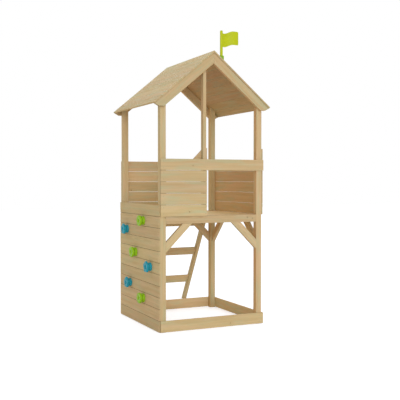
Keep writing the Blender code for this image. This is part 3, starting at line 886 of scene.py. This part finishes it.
def jointed_board(name, turn, low, high, tongues, below=False, above=False):
    """Model a board with the tongues that close its joints, or part of them.

    A tongue is its low and high corners and whether it is deep in the joint, below and
    above say if the board's long edges are; faces deep in a joint get painted shade.
    """
    board = straight_timber(name, turn, low, high,
                            arris=bpy.context.scene.tower_timber.board_arris)
    # The long edges deep in a joint get painted shade
    paint_joint_shade(board, lambda face: (below and face.normal.z < -LONG_EDGE)
                or (above and face.normal.z > LONG_EDGE))
    pieces = []
    for start, end, deep in tongues:
        middle = (start + end) / 2
        pieces.append(add_block("tongue", end - start, middle))
        lay_grain(pieces[-1], seat_at(middle, turn))
        # A tongue deep in the joint gets painted shade all over
        paint_joint_shade(pieces[-1], lambda face: deep)
    return join(name, [*pieces, board])


def board_rows():
    """Return how far apart the rows of boards are, and how wide a board is."""
    low, high = node_box("front_board_1")
    return node_box("front_board_2")[0].z - low.z, high.z - low.z


def wall_rows():
    """Return the box of each board of the climbing wall, from the ground up."""
    low, high = node_box("climbing_wall")
    pitch, width = board_rows()
    heights = [low.z + i * pitch
               for i in range(bpy.context.scene.tower_timber.climbing_boards)]
    return [(Vector((low.x, low.y, height)), Vector((high.x, high.y, height + width)))
            for height in heights]


def slope_ways(side):
    """Return the directions square to one slope of the roof and down it."""
    pitch = bpy.context.scene.tower_timber.roof_pitch
    return (Vector((side * sin(pitch), 0.0, cos(pitch))),
            Vector((side * cos(pitch), 0.0, -sin(pitch))))


def slope_ends(side, node):
    """Return the middles of a sloping solid's upper edge and of its eave."""
    low, high = node_box(node)
    ridge, eave = (high.x, low.x) if side < 0 else (low.x, high.x)
    pitch = bpy.context.scene.tower_timber.roof_pitch
    middle = (low.y + high.y) / 2
    return (Vector((ridge, middle, high.z)),
            Vector((eave, middle, high.z - (high.x - low.x) * tan(pitch))))


class TimberOperator(bpy.types.Operator):
    """Shared by the operators that add pieces."""

    bl_options = {"REGISTER", "UNDO"}


class PLAYTOWER_OT_posts(TimberOperator):
    """Add the corner posts and the door posts, cut to the roof's slope"""

    bl_idname = "play_tower.posts"
    bl_label = "Posts"

    def execute(self, context):
        middle = (CAD_BOX[0].x + CAD_BOX[1].x) / 2
        for name in [f"{end}_{kind}_post" for end in ("front", "rear")
                     for kind in ("left", "right", "door")]:
            low, high = node_box(name)
            side = -1.0 if node_middle(name).x < middle else 1.0
            inner = high.x if side < 0 else low.x
            fill_solid(name, UPRIGHT,
                       cuts=[(Vector((inner, low.y, high.z)), slope_ways(side)[0])])
        return {"FINISHED"}


class PLAYTOWER_OT_beams(TimberOperator):
    """Add the beams and the joist under the deck"""

    bl_idname = "play_tower.beams"
    bl_label = "Beams"

    def execute(self, context):
        turns = {"front_beam": ALONG_X, "rear_beam": ALONG_X, "left_beam": ALONG_Y,
                 "right_beam": ALONG_Y, "deck_joist": ALONG_Y}
        for name, turn in turns.items():
            fill_solid(name, turn)
        return {"FINISHED"}


class PLAYTOWER_OT_braces(TimberOperator):
    """Add the knee braces, sawn at 45 degrees to the post and the beam"""

    bl_idname = "play_tower.braces"
    bl_label = "Knee braces"

    def execute(self, context):
        width = context.scene.tower_timber.brace_width
        ways = {"front_left_brace": RIGHT, "front_right_brace": LEFT,
                "rear_left_brace": RIGHT, "rear_right_brace": LEFT,
                "right_front_brace": BACK, "right_rear_brace": FRONT}
        for name, reach in ways.items():
            low, high = node_box(name)
            slant = (reach + UP).normalized()
            square = (UP - reach).normalized()
            thick = abs((high - low).dot(slant.cross(square)))
            length = (high.z - low.z) / slant.z + 2 * OVERSIZE
            middle = (low + high) / 2
            post_face = middle - reach * abs((high - low).dot(reach)) / 2
            brace = saw_timber(name + "_timber", (length, width, thick),
                               middle + square * width / 2, turn_along(slant, square),
                               [(post_face, -reach), (high, UP)])
            fit_timber(brace, name)
        return {"FINISHED"}


class PLAYTOWER_OT_boards(TimberOperator):
    """Add the sills, the guard boards round the platform and the top rail"""

    bl_idname = "play_tower.boards"
    bl_label = "Boards"

    def execute(self, context):
        for side in ("front", "rear", "right"):
            turn = ALONG_Y if side == "right" else ALONG_X
            rows = sorted(name for name in SLOTS if name.startswith(side + "_board_"))
            if side == "front":
                rows.append("front_top_rail")
            for name in [*rows, side + "_sill"]:
                low, high = node_box(name)
                tongues = self.tongues(side, low, high) if name in rows[:-1] else []
                fit_timber(jointed_board(name + "_timber", turn, low, high, tongues), name)
        return {"FINISHED"}

    def tongues(self, side, low, high):
        """Return the tongues on a guard board: low ones, and full ones over its posts."""
        sizes = bpy.context.scene.tower_timber
        inner, towards, across, posts = {
            "front": (high.y, -1.0, 1, ("front_left_post", "front_door_post")),
            "rear": (low.y, 1.0, 1, ("rear_left_post", "rear_door_post")),
            "right": (low.x, 1.0, 0, ("front_right_post", "rear_right_post")),
        }[side]
        along = 1 - across
        near, far = sorted((inner + towards * SEAM, inner + towards * (SEAM + sizes.tongue)))
        first, second = [node_box(post) for post in posts]
        full = low.z + board_rows()[0] - LIFT
        part = high.z + getattr(sizes, side + "_tongue")
        tongues = []
        for start, end, deep in ((low[along] + SEAM, first[1][along], True),
                                 (second[0][along], high[along] - SEAM, True),
                                 (first[1][along], second[0][along], False)):
            corners = [UP * (high.z - SEAM), UP * (full if deep else part)]
            corners[0][along], corners[1][along] = start, end
            corners[0][across], corners[1][across] = near, far
            tongues.append((*corners, deep))
        return tongues


class PLAYTOWER_OT_grips(TimberOperator):
    """Add the short boards at hand height beside the doorway, cut off at 45 degrees"""

    bl_idname = "play_tower.grips"
    bl_label = "Grips"

    def execute(self, context):
        arris = context.scene.tower_timber.board_arris
        for name, turn, away in (("door_post_grip", ALONG_X, LEFT),
                                 ("right_post_grip", ALONG_Y, BACK)):
            low, high = node_box(name)
            corner = low if away.x < 0 else Vector((low.x, high.y, low.z))
            fill_solid(name, turn, arris, [(corner, (away + UP).normalized())])
        return {"FINISHED"}


class PLAYTOWER_OT_deck(TimberOperator):
    """Add the boards of the platform, notched round the posts"""

    bl_idname = "play_tower.deck"
    bl_label = "Deck"

    def execute(self, context):
        sizes = context.scene.tower_timber
        count = sizes.deck_boards
        low, high = node_box("platform_floor")
        step = (high.y - low.y) / count
        room = Vector((SEAM, SEAM, 0.0))
        for i in range(count):
            start = low.y + i * step + (SEAM if i else 0.0)
            end = low.y + (i + 1) * step - (SEAM if i < count - 1 else 0.0)
            notches = []
            if i in (0, count - 1):
                posts = [node_box(f"{'rear' if i else 'front'}_{side}_post") for side in SIDES]
                notches = [(post[0] - room, post[1] + room) for post in posts]
            board = straight_timber(
                f"deck_board_{i + 1}", ALONG_X, Vector((low.x, start, low.z)),
                Vector((high.x, end, high.z)), sizes.board_arris, notches=notches)
            fit_timber(board, "platform_floor")
        return {"FINISHED"}


class PLAYTOWER_OT_climbing_wall(TimberOperator):
    """Add the boards of the climbing wall"""

    bl_idname = "play_tower.climbing_wall"
    bl_label = "Climbing wall"

    def execute(self, context):
        sizes = context.scene.tower_timber
        for i, (low, high) in enumerate(wall_rows()):
            top = i == sizes.climbing_boards - 1
            tongue = (Vector((high.x - SEAM - sizes.tongue, low.y + SEAM, high.z - SEAM)),
                      Vector((high.x - SEAM, high.y - SEAM,
                              low.z + board_rows()[0] - LIFT)), True)
            board = jointed_board(f"climbing_board_{i + 1}", ALONG_Y, low, high,
                                  [] if top else [tongue], i > 0, not top)
            fit_timber(board, "climbing_wall")
        return {"FINISHED"}


class PLAYTOWER_OT_roof(TimberOperator):
    """Add the roof boards, the last one of each slope sawn plumb at the ridge"""

    bl_idname = "play_tower.roof"
    bl_label = "Roof boards"

    def execute(self, context):
        sizes = context.scene.tower_timber
        for word, side in SIDES.items():
            node = f"{word}_roof_slope"
            low, high = node_box(node)
            square, down = slope_ways(side)
            ridge, eave = slope_ends(side, node)
            thick = (eave.z - low.z) / cos(sizes.roof_pitch)
            step = (eave - ridge).length / sizes.roof_boards
            for i in range(sizes.roof_boards):
                spare = 0.0 if i else OVERSIZE
                place = ridge + down * ((i + 0.5) * step - spare / 2) - square * thick / 2
                board = saw_timber(f"{word}_roof_board_{i + 1}",
                                   (high.y - low.y, step - SEAM + spare, thick), place,
                                   turn_along(BACK, square.cross(BACK)),
                                   [] if i else [(ridge, RIGHT * -side)],
                                   sizes.board_arris)
                fit_timber(board, node)
        return {"FINISHED"}


class PLAYTOWER_OT_barges(TimberOperator):
    """Add the barges under the ends of the roof boards"""

    bl_idname = "play_tower.barges"
    bl_label = "Barges"

    def execute(self, context):
        sizes = context.scene.tower_timber
        depth, nose_slope = sizes.barge_depth, sizes.barge_nose_slope
        for name in [f"{end}_{word}_barge" for end in ("front", "rear") for word in SIDES]:
            side = SIDES[name.split("_")[1]]
            low, high = node_box(name)
            square, down = slope_ways(side)
            ridge, tip = slope_ends(side, name)
            nose = Vector((side * sin(nose_slope), 0.0, -cos(nose_slope)))
            cuts = [(ridge, RIGHT * -side), (tip, nose), (low, DOWN)]
            size = ((tip - ridge).length + 2 * OVERSIZE, high.y - low.y, depth)
            barge = saw_timber(name + "_timber", size,
                               (ridge + tip) / 2 - square * depth / 2,
                               turn_along(down, BACK), cuts)
            fit_timber(barge, name)
        return {"FINISHED"}


class PLAYTOWER_OT_ladder(TimberOperator):
    """Add the ladder's stiles, sawn to the ground and the beam, and its flat rungs"""

    bl_idname = "play_tower.ladder"
    bl_label = "Ladder"

    def execute(self, context):
        sizes = context.scene.tower_timber
        slope, depth = sizes.ladder_slope, sizes.stile_depth
        lean = Vector((0.0, -cos(slope), sin(slope)))
        square = Vector((0.0, sin(slope), cos(slope)))
        for name in ("ladder_left_stile", "ladder_right_stile"):
            low, high = node_box(name)
            foot = Vector(((low.x + high.x) / 2, high.y, low.z))
            length = (high.z - low.z) / sin(slope)
            stile = saw_timber(name + "_timber",
                               (length + 2 * OVERSIZE, high.x - low.x, depth),
                               foot + lean * length / 2 - square * depth / 2,
                               turn_along(lean, RIGHT),
                               [(low, DOWN), (high, UP), (low, FRONT)])
            fit_timber(stile, name)
        for name in ("ladder_rung_1", "ladder_rung_2", "ladder_rung_3"):
            low, high = node_box(name)
            size = (high.x - low.x, sizes.rung_width, sizes.rung_thickness)
            fit_timber(saw_timber(name + "_timber", size, (low + high) / 2,
                                  turn_along(RIGHT, lean)), name)
        return {"FINISHED"}


# Moulded pieces


def turned_outline(name, outline, steps):
    """Spin an outline of radius and height round Z, and close its seam and poles."""
    mesh = bpy.data.meshes.new(name)
    mesh.from_pydata([(radius, 0.0, height) for radius, height in outline],
                     [(i, i + 1) for i in range(len(outline) - 1)], [])
    piece = bpy.data.objects.new(name, mesh)
    bpy.context.scene.collection.objects.link(piece)
    edit(piece, everything=True)
    bpy.ops.mesh.spin(steps=steps, angle=2 * pi, center=(0.0, 0.0, 0.0), axis=UP)
    bpy.ops.mesh.select_all(action="SELECT")
    bpy.ops.mesh.remove_doubles(threshold=SAME_POINT)
    bpy.ops.mesh.normals_make_consistent(inside=False)
    leave_edit_mode()
    return piece


def rounded(corners, radius, steps=4):
    """Round the inner corners of an outline of points."""
    points = [Vector(corners[0])]
    for before, corner, after in zip(corners, corners[1:], corners[2:]):
        corner = Vector(corner)
        to_before = Vector(before) - corner
        to_after = Vector(after) - corner
        room = min(radius, to_before.length / 2, to_after.length / 2)
        start = corner + to_before.normalized() * room
        end = corner + to_after.normalized() * room
        for i in range(steps + 1):
            share = i / steps
            first = start.lerp(corner, share)
            second = corner.lerp(end, share)
            points.append(first.lerp(second, share))
    points.append(Vector(corners[-1]))
    return [tuple(point) for point in points]


def hold_outline(radius, depth, foot, moulds):
    """Return a hold's half section: a bolt well, a dished disc, a neck and a foot."""
    edge = moulds.rim_round
    back = depth - moulds.disc_depth
    floor = depth - moulds.well_depth
    bowl = [(0.0, floor), (moulds.well_floor, floor),
            (moulds.well_radius, depth - moulds.mouth_dish),
            ((moulds.well_radius + radius) / 2, depth - moulds.dish)]
    outline = rounded(bowl, moulds.well_round)[:-1]
    steps = 6
    for start, height in ((pi / 2, depth - edge), (0.0, back + edge)):
        for i in range(steps + 1):
            angle = start - pi / 2 * i / steps
            outline.append((radius - edge + edge * cos(angle), height + edge * sin(angle)))
    neck = [outline[-1], (moulds.neck_radius, back), (moulds.neck_radius, moulds.foot_depth),
            (foot, moulds.foot_depth), (foot, 0.0), (0.0, 0.0)]
    # The foot's lower edge stays sharp where it meets the wall
    outline += rounded(neck, edge)[1:-1]
    return [point for point in outline if point[1] > edge * 0.6] + neck[-2:]


def hold_places():
    """Return each hold's name, its box and the middle of its foot."""
    wall = node_box("climbing_wall")[0]
    pitch, width = board_rows()
    places = []
    for name in sorted(node for node in SLOTS if node.startswith("climbing_hold")):
        low, high = node_box(name)
        middle = node_middle(name)
        row = int((middle.z - wall.z) / pitch)
        foot = Vector((high.x, middle.y, wall.z + row * pitch + width / 2))
        places.append((name, low, high, foot))
    return places


class PLAYTOWER_OT_holds(TimberOperator):
    """Add the moulded climbing holds, the blue ones with a lobed rim"""

    bl_idname = "play_tower.holds"
    bl_label = "Climbing holds"

    def execute(self, context):
        moulds = context.scene.tower_moulds
        for name, low, high, foot in hold_places():
            colour = SLOTS[name].split("_")[0]
            radius = high.z - foot.z
            outline = hold_outline(radius, high.x - low.x,
                                   getattr(moulds, colour + "_foot"), moulds)
            hold = turned_outline(name + "_moulding", outline, steps=60)
            if colour == "blue":
                self.press_lobes(hold, radius, moulds)
            hold.rotation_euler = (0.0, -pi / 2, 0.0)
            hold.location = foot
            settle(hold)
            smooth(hold, 50)
            fit(hold, f"{colour.capitalize()} plastic", SLOTS[name], name)
        return {"FINISHED"}

    def press_lobes(self, hold, rim, moulds):
        """Draw the rim of a hold in between its lobes, and leave its neck and foot round."""
        neck = moulds.neck_radius
        for vertex in hold.data.vertices:
            spread = vertex.co.to_2d().length
            if vertex.co.z < moulds.foot_depth or spread < neck:
                continue
            share = (spread - neck) / (rim - neck)
            angle = atan2(vertex.co.y, vertex.co.x)
            drawn_in = moulds.lobe_depth * share * (1 - cos(moulds.lobes * angle)) / 2
            vertex.co.x *= 1 - drawn_in / spread
            vertex.co.y *= 1 - drawn_in / spread


# Where the flag's edges start to rise and over how much of its width, as shares of it
RISE_START = 0.1
RISE_LENGTH = 0.55
# How far the corner at the socket's mouth and the pole's foot is eased
MOUTH_EASE = 0.002


class PLAYTOWER_OT_flag(TimberOperator):
    """Add the flag, its pole and the socket on the roof"""

    bl_idname = "play_tower.flag"
    bl_label = "Flag"

    def execute(self, context):
        low, high = node_box("flag_pole")
        bore = (high.x - low.x) / 2
        self.add_pole(bore, high.z - low.z)
        self.add_socket(bore + LIFT, low.z)
        self.add_flag(context.scene.tower_moulds)
        return {"FINISHED"}

    def turn_part(self, node, outline, steps):
        """Turn a moulding from its outline, which hangs from its top, and put it up."""
        part = turned_outline(node + "_moulding", outline, steps)
        middle = node_middle(node)
        part.location = (middle.x, middle.y, node_box(node)[1].z)
        settle(part)
        return part

    def add_pole(self, radius, length):
        """Turn the pole, with a round head and an eased foot."""
        corners = [(0.0, 0.0), (radius * 0.75, 0.0), (radius, -radius * 0.7),
                   (radius, MOUTH_EASE - length), (radius * 0.9, -length), (0.0, -length)]
        pole = self.turn_part("flag_pole", rounded(corners, radius * 0.8, 6), steps=40)
        smooth(pole, 40)
        fit(pole, "Lime plastic", "lime_plastic", "flag_pole")

    def add_socket(self, bore, bore_floor):
        """Turn the socket, and cut its foot along the roof."""
        low, high = node_box("flag_socket")
        radius = (high.x - low.x) / 2
        corners = [(bore, bore_floor - high.z), (bore, 0.0), (radius, 0.0),
                   (radius, low.z - high.z)]
        outline = [(0.0, bore_floor - high.z), *rounded(corners, MOUTH_EASE, 3),
                   (0.0, low.z - high.z)]
        socket = self.turn_part("flag_socket", outline, steps=48)
        cut_off(socket, Vector((high.x, 0.0, low.z)), -slope_ways(SIDES["right"])[0])
        smooth(socket, 40)
        fit(socket, "Socket plastic", "socket_plastic", "flag_socket")

    def add_flag(self, moulds):
        """Wave a grid, give it a thickness and round its edge."""
        low, high = node_box("flag")
        select_only()
        bpy.ops.mesh.primitive_grid_add(x_subdivisions=40, y_subdivisions=20, size=1.0)
        flag = name_piece(bpy.context.object, "flag_moulding")
        width = high.x - low.x
        height = high.z - low.z - moulds.flag_rise
        corner = moulds.flag_corner
        for vertex in flag.data.vertices:
            share = vertex.co.x + 0.5
            free = min(max((share * width - (width - corner)) / corner, 0.0), 1.0)
            tuck = corner * (1 - (1 - free * free) ** 0.5)
            along = min(max((share - RISE_START) / RISE_LENGTH, 0.0), 1.0)
            lift = moulds.flag_rise * (1 - cos(pi * along)) / 2
            vertex.co = (share * width, moulds.flag_ripple * sin(2 * pi * share),
                         height / 2 + lift + vertex.co.y * (height - 2 * tuck))
        flag.location = (low.x, (low.y + high.y) / 2, low.z)
        settle(flag)
        apply_modifier(flag, "SOLIDIFY", thickness=moulds.flag_thickness, offset=0.0)
        round_edges(flag, folded(FLAG_FOLD), moulds.flag_thickness * 0.3, 2)
        smooth(flag, 60)
        fit(flag, "Lime plastic", "lime_plastic", "flag")


# Fixings


def screw_head(radius):
    """Model one countersunk head with a driver recess, facing +Z."""
    select_only()
    bpy.ops.mesh.primitive_cylinder_add(vertices=16, radius=radius, depth=radius * 0.5,
                                        location=(0.0, 0.0, LIFT - radius * 0.25))
    head = name_piece(bpy.context.object, "screw")
    settle(head)
    edit(head)
    choose(head, "FACE", lambda face: face.normal.z > 0.9)
    for inset, depth in ((0.12, 0.0), (0.40, -0.05), (0.04, -0.28)):
        bpy.ops.mesh.inset(thickness=radius * inset, depth=radius * depth)
    leave_edit_mode()
    return head


def bolt_head(radius):
    """Model one domed coach bolt head on its washer, facing +Z."""
    shares = [(0.0, 0.42), (0.55, 0.36), (0.95, 0.10), (0.98, 0.02), (1.25, 0.02),
              (1.25, -0.2), (0.0, -0.2)]
    corners = [(across * radius, up * radius) for across, up in shares]
    return turned_outline("bolt", rounded(corners, radius * 0.12, 3), steps=20)


def scatter(name, pattern, places, finish="Plated steel"):
    """Copy a fixing to each place and facing, and join the copies into one piece."""
    chance = Random(name)
    copies = []
    for place, facing in places:
        copy = pattern.copy()
        copy.data = pattern.data.copy()
        bpy.context.scene.collection.objects.link(copy)
        turned = Matrix.Rotation(chance.uniform(0.0, pi / 2), 4, "Z")
        stand = facing.to_track_quat("Z", "Y").to_matrix().to_4x4()
        copy.data.transform(Matrix.Translation(place) @ stand @ turned)
        copies.append(copy)
    bpy.data.objects.remove(pattern, do_unlink=True)
    piece = join(name, copies)
    smooth(piece, 35)
    fit(piece, finish)


# The front beam's screws: how far they are from the right post and below the beam's top,
# and how far the left post's screw is from the post's right edge and below that top
BEAM_SCREWS = ((0.111, 0.029), (0.049, 0.041))
POST_SCREW = (0.010, 0.014)
# Where the screws are across a board of the deck and of the roof
DECK_SHARES = (0.25, 0.75)
ROOF_SHARES = (0.28, 0.72)


class PLAYTOWER_OT_fixings(TimberOperator):
    """Add the screws in the boards and the front beam, and the bolts in the holds"""

    bl_idname = "play_tower.fixings"
    bl_label = "Screws and bolts"

    def execute(self, context):
        sizes = context.scene.tower_fixings
        screws = {**self.board_screws(sizes.board_edge), "deck_screws": self.deck_screws(),
                  "roof_screws": self.roof_screws()}
        for name, places in screws.items():
            scatter(name, screw_head(sizes.screw_radius), places)
        # The front beam's screws take the near black painted shade
        scatter("beam_screws", screw_head(sizes.beam_screw_radius), self.beam_screws(),
                "Dark steel")
        depth = context.scene.tower_moulds.well_depth
        scatter("hold_bolts", bolt_head(sizes.bolt_radius),
                [(Vector((low.x + depth, foot.y, foot.z)), LEFT)
                 for name, low, high, foot in hold_places()])
        return {"FINISHED"}

    def board_screws(self, edge):
        """Return the screws of every upright board, over the middles of its posts."""
        left, right, door = [node_middle(f"front_{kind}_post").x
                             for kind in ("left", "right", "door")]
        ends = [node_middle(f"{end}_right_post").y for end in ("front", "rear")]
        columns = {"front_top_rail": (left, right, door), "front_sill": (left, right),
                   "rear_sill": (left, right)}
        tops = {"front": "front_top_rail", "rear": "rear_board_5"}
        screws = {}
        for side, facing in (("front", FRONT), ("rear", BACK)):
            names = [*(f"{side}_board_{i + 1}" for i in range(4)), side + "_sill", tops[side]]
            screws[side + "_screws"] = [
                place for name in names for place in self.edge_screws(
                    node_box(name), facing, columns.get(name, (left, door)), edge)]
        boxes = [node_box(name) for name in
                 (*(f"right_board_{i + 1}" for i in range(5)), "right_sill")]
        for name, facing, boards in (("right_screws", RIGHT, boxes),
                                     ("climbing_wall_screws", LEFT, wall_rows())):
            screws[name] = [place for box in boards
                            for place in self.edge_screws(box, facing, ends, edge)]
        return screws

    def edge_screws(self, box, facing, columns, edge):
        """Return screws near the long edges of an upright board, at places along it.

        facing is the way the heads look.
        """
        low, high = box
        across, along = (1, 0) if facing.y else (0, 1)
        places = []
        for column in columns:
            for height in (low.z + edge, high.z - edge):
                place = UP * height
                place[along] = column
                place[across] = (low if facing[across] < 0 else high)[across]
                places.append((place, facing))
        return places

    def deck_screws(self):
        """Screw the deck boards to the side beams and the joist."""
        low, high = node_box("platform_floor")
        count = bpy.context.scene.tower_timber.deck_boards
        step = (high.y - low.y) / count
        columns = [node_middle(name).x for name in ("left_beam", "deck_joist", "right_beam")]
        return [(Vector((column, low.y + (i + share) * step, high.z)), UP)
                for i in range(1, count - 1) for share in DECK_SHARES for column in columns]

    def roof_screws(self):
        """Screw the roof boards to the barges."""
        count = bpy.context.scene.tower_timber.roof_boards
        places = []
        for word, side in SIDES.items():
            square, down = slope_ways(side)
            ridge, eave = slope_ends(side, f"{word}_roof_slope")
            step = (eave - ridge).length / count
            for end in ("front", "rear"):
                ridge.y = node_middle(f"{end}_{word}_barge").y
                places += [(ridge + down * (i + share) * step, square)
                           for i in range(count) for share in ROOF_SHARES]
        return places

    def beam_screws(self):
        """Screw the front beam to the cleat behind its right end, and to the left post."""
        low, high = node_box("front_beam")
        right = node_box("front_right_post")[0]
        left, left_high = node_box("front_left_post")
        places = [(right.x - across, low.y, high.z - down) for across, down in BEAM_SCREWS]
        places.append((left_high.x - POST_SCREW[0], left.y, high.z - POST_SCREW[1]))
        return [(Vector(place), FRONT) for place in places]


# Stage

WHITE = (1.0, 1.0, 1.0, 1.0)
# The floor's colour under the tower's light, and the paint and glow that the eye sees
FLOOR_PAINT = (0.98, 0.93, 0.90, 1.0)
FLOOR_SEEN = (0.79, 0.80, 0.83, 1.0)
FLOOR_GLOW = (1.0, 1.01, 1.03, 1.0)
GLOW_STRENGTH = 0.55
SUN_DISTANCE = 6.0
SENSOR_WIDTH = 36.0


class PLAYTOWER_OT_stage(TimberOperator):
    """Add the floor, the light and the camera"""

    bl_idname = "play_tower.stage"
    bl_label = "Stage"

    def execute(self, context):
        stage = context.scene.tower_stage
        self.add_floor(stage)
        self.add_sky(context.scene, stage)
        self.add_sun(stage, "key", stage.key_colour)
        self.add_sun(stage, "fill", WHITE[:3])
        self.add_camera(context.scene, stage)
        context.scene.view_settings.view_transform = "Standard"
        return {"FINISHED"}

    def add_floor(self, stage):
        """Lay a plain pale floor."""
        select_only()
        bpy.ops.mesh.primitive_plane_add(size=stage.floor_size)
        floor = name_piece(bpy.context.object, "floor")
        material, nodes, shader = start_material("Pale floor")
        path = nodes.add("LightPath")
        seen = nodes.maths("MAXIMUM", path["Is Camera Ray"], path["Is Glossy Ray"])
        nodes.feed(shader.inputs["Base Color"], nodes.blend(seen, FLOOR_PAINT, FLOOR_SEEN))
        nodes.feed(shader.inputs["Roughness"], 0.9)
        nodes.feed(shader.inputs["Specular IOR Level"], 0.0)
        glow = nodes.add("Emission", {
            "Color": FLOOR_GLOW, "Strength": nodes.maths("MULTIPLY", seen, GLOW_STRENGTH)})
        both = nodes.add("AddShader", {0: shader.outputs["BSDF"], 1: glow["Emission"]})
        nodes.feed(nodes.tree.nodes["Material Output"].inputs["Surface"], both["Shader"])
        floor.data.materials.append(material)

    def add_sky(self, scene, stage):
        """Light the tower evenly, and show white behind it."""
        scene.world = bpy.data.worlds.new("Studio")
        scene.world.use_nodes = True
        nodes = Nodes(scene.world.node_tree)
        background = nodes.tree.nodes["Background"].inputs
        path = nodes.add("LightPath")
        seen = path["Is Camera Ray"]
        for ray in ("Is Glossy Ray", "Is Transmission Ray"):
            seen = nodes.maths("MAXIMUM", seen, path[ray])
        nodes.feed(background["Color"], WHITE)
        nodes.feed(background["Strength"],
                   nodes.stretch(seen, 0.0, 1.0, stage.sky_strength, 1.0))

    def add_sun(self, stage, kind, colour):
        """Add a broad soft light that shines towards its azimuth from its height."""
        azimuth = getattr(stage, kind + "_azimuth")
        height = getattr(stage, kind + "_height")
        towards = Vector((sin(azimuth) * cos(height), cos(azimuth) * cos(height),
                          -sin(height)))
        select_only()
        bpy.ops.object.light_add(type="SUN", location=-SUN_DISTANCE * towards)
        sun = name_piece(bpy.context.object, kind + "_light")
        sun.rotation_euler = towards.to_track_quat("-Z", "Y").to_euler()
        sun.data.energy = getattr(stage, kind + "_strength")
        sun.data.angle = stage.softness
        sun.data.color = colour

    def add_camera(self, scene, stage):
        """Stand the camera where the photograph was taken from."""
        select_only()
        bpy.ops.object.camera_add(location=stage.camera_place)
        scene.camera = name_piece(bpy.context.object, "camera")
        scene.camera.rotation_euler = (pi / 2 - stage.camera_pitch, 0.0, -stage.camera_yaw)
        scene.camera.data.sensor_width = SENSOR_WIDTH
        scene.camera.data.lens = stage.camera_lens


class PLAYTOWER_PT_panel(bpy.types.Panel):
    """Lists the steps that build the tower's finish"""

    bl_label = "Play tower"
    bl_idname = "PLAYTOWER_PT_panel"
    bl_space_type = "VIEW_3D"
    bl_region_type = "UI"
    bl_category = "Play tower"

    def draw(self, context):
        for step in STEPS:
            self.layout.operator(step.bl_idname)
        for group in SETTINGS:
            settings = getattr(context.scene, group)
            box = self.layout.box()
            for key in settings.__annotations__:
                box.prop(settings, key)


SETTINGS = {
    "tower_timber": TimberSizes,
    "tower_wood": WoodLooks,
    "tower_plastic": PlasticLooks,
    "tower_moulds": MouldSizes,
    "tower_fixings": FixingSizes,
    "tower_stage": StageSizes,
}
STEPS = (
    PLAYTOWER_OT_posts,
    PLAYTOWER_OT_beams,
    PLAYTOWER_OT_braces,
    PLAYTOWER_OT_boards,
    PLAYTOWER_OT_grips,
    PLAYTOWER_OT_deck,
    PLAYTOWER_OT_climbing_wall,
    PLAYTOWER_OT_roof,
    PLAYTOWER_OT_barges,
    PLAYTOWER_OT_ladder,
    PLAYTOWER_OT_holds,
    PLAYTOWER_OT_flag,
    PLAYTOWER_OT_fixings,
    PLAYTOWER_OT_stage,
)


def register():
    """Register the settings, the steps and the panel."""
    for key, group in SETTINGS.items():
        bpy.utils.register_class(group)
        setattr(bpy.types.Scene, key, PointerProperty(type=group))
    for step in (*STEPS, PLAYTOWER_PT_panel):
        bpy.utils.register_class(step)


def unregister():
    """Take back what register() did."""
    for step in (PLAYTOWER_PT_panel, *reversed(STEPS)):
        bpy.utils.unregister_class(step)
    for key, group in SETTINGS.items():
        delattr(bpy.types.Scene, key)
        bpy.utils.unregister_class(group)


def main():
    """Register the add-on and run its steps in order."""
    register()
    for step in STEPS:
        family, name = step.bl_idname.split(".")
        getattr(getattr(bpy.ops, family), name)()
    leave_edit_mode()
    bpy.context.view_layer.update()


if __name__ == "__main__":
    main()
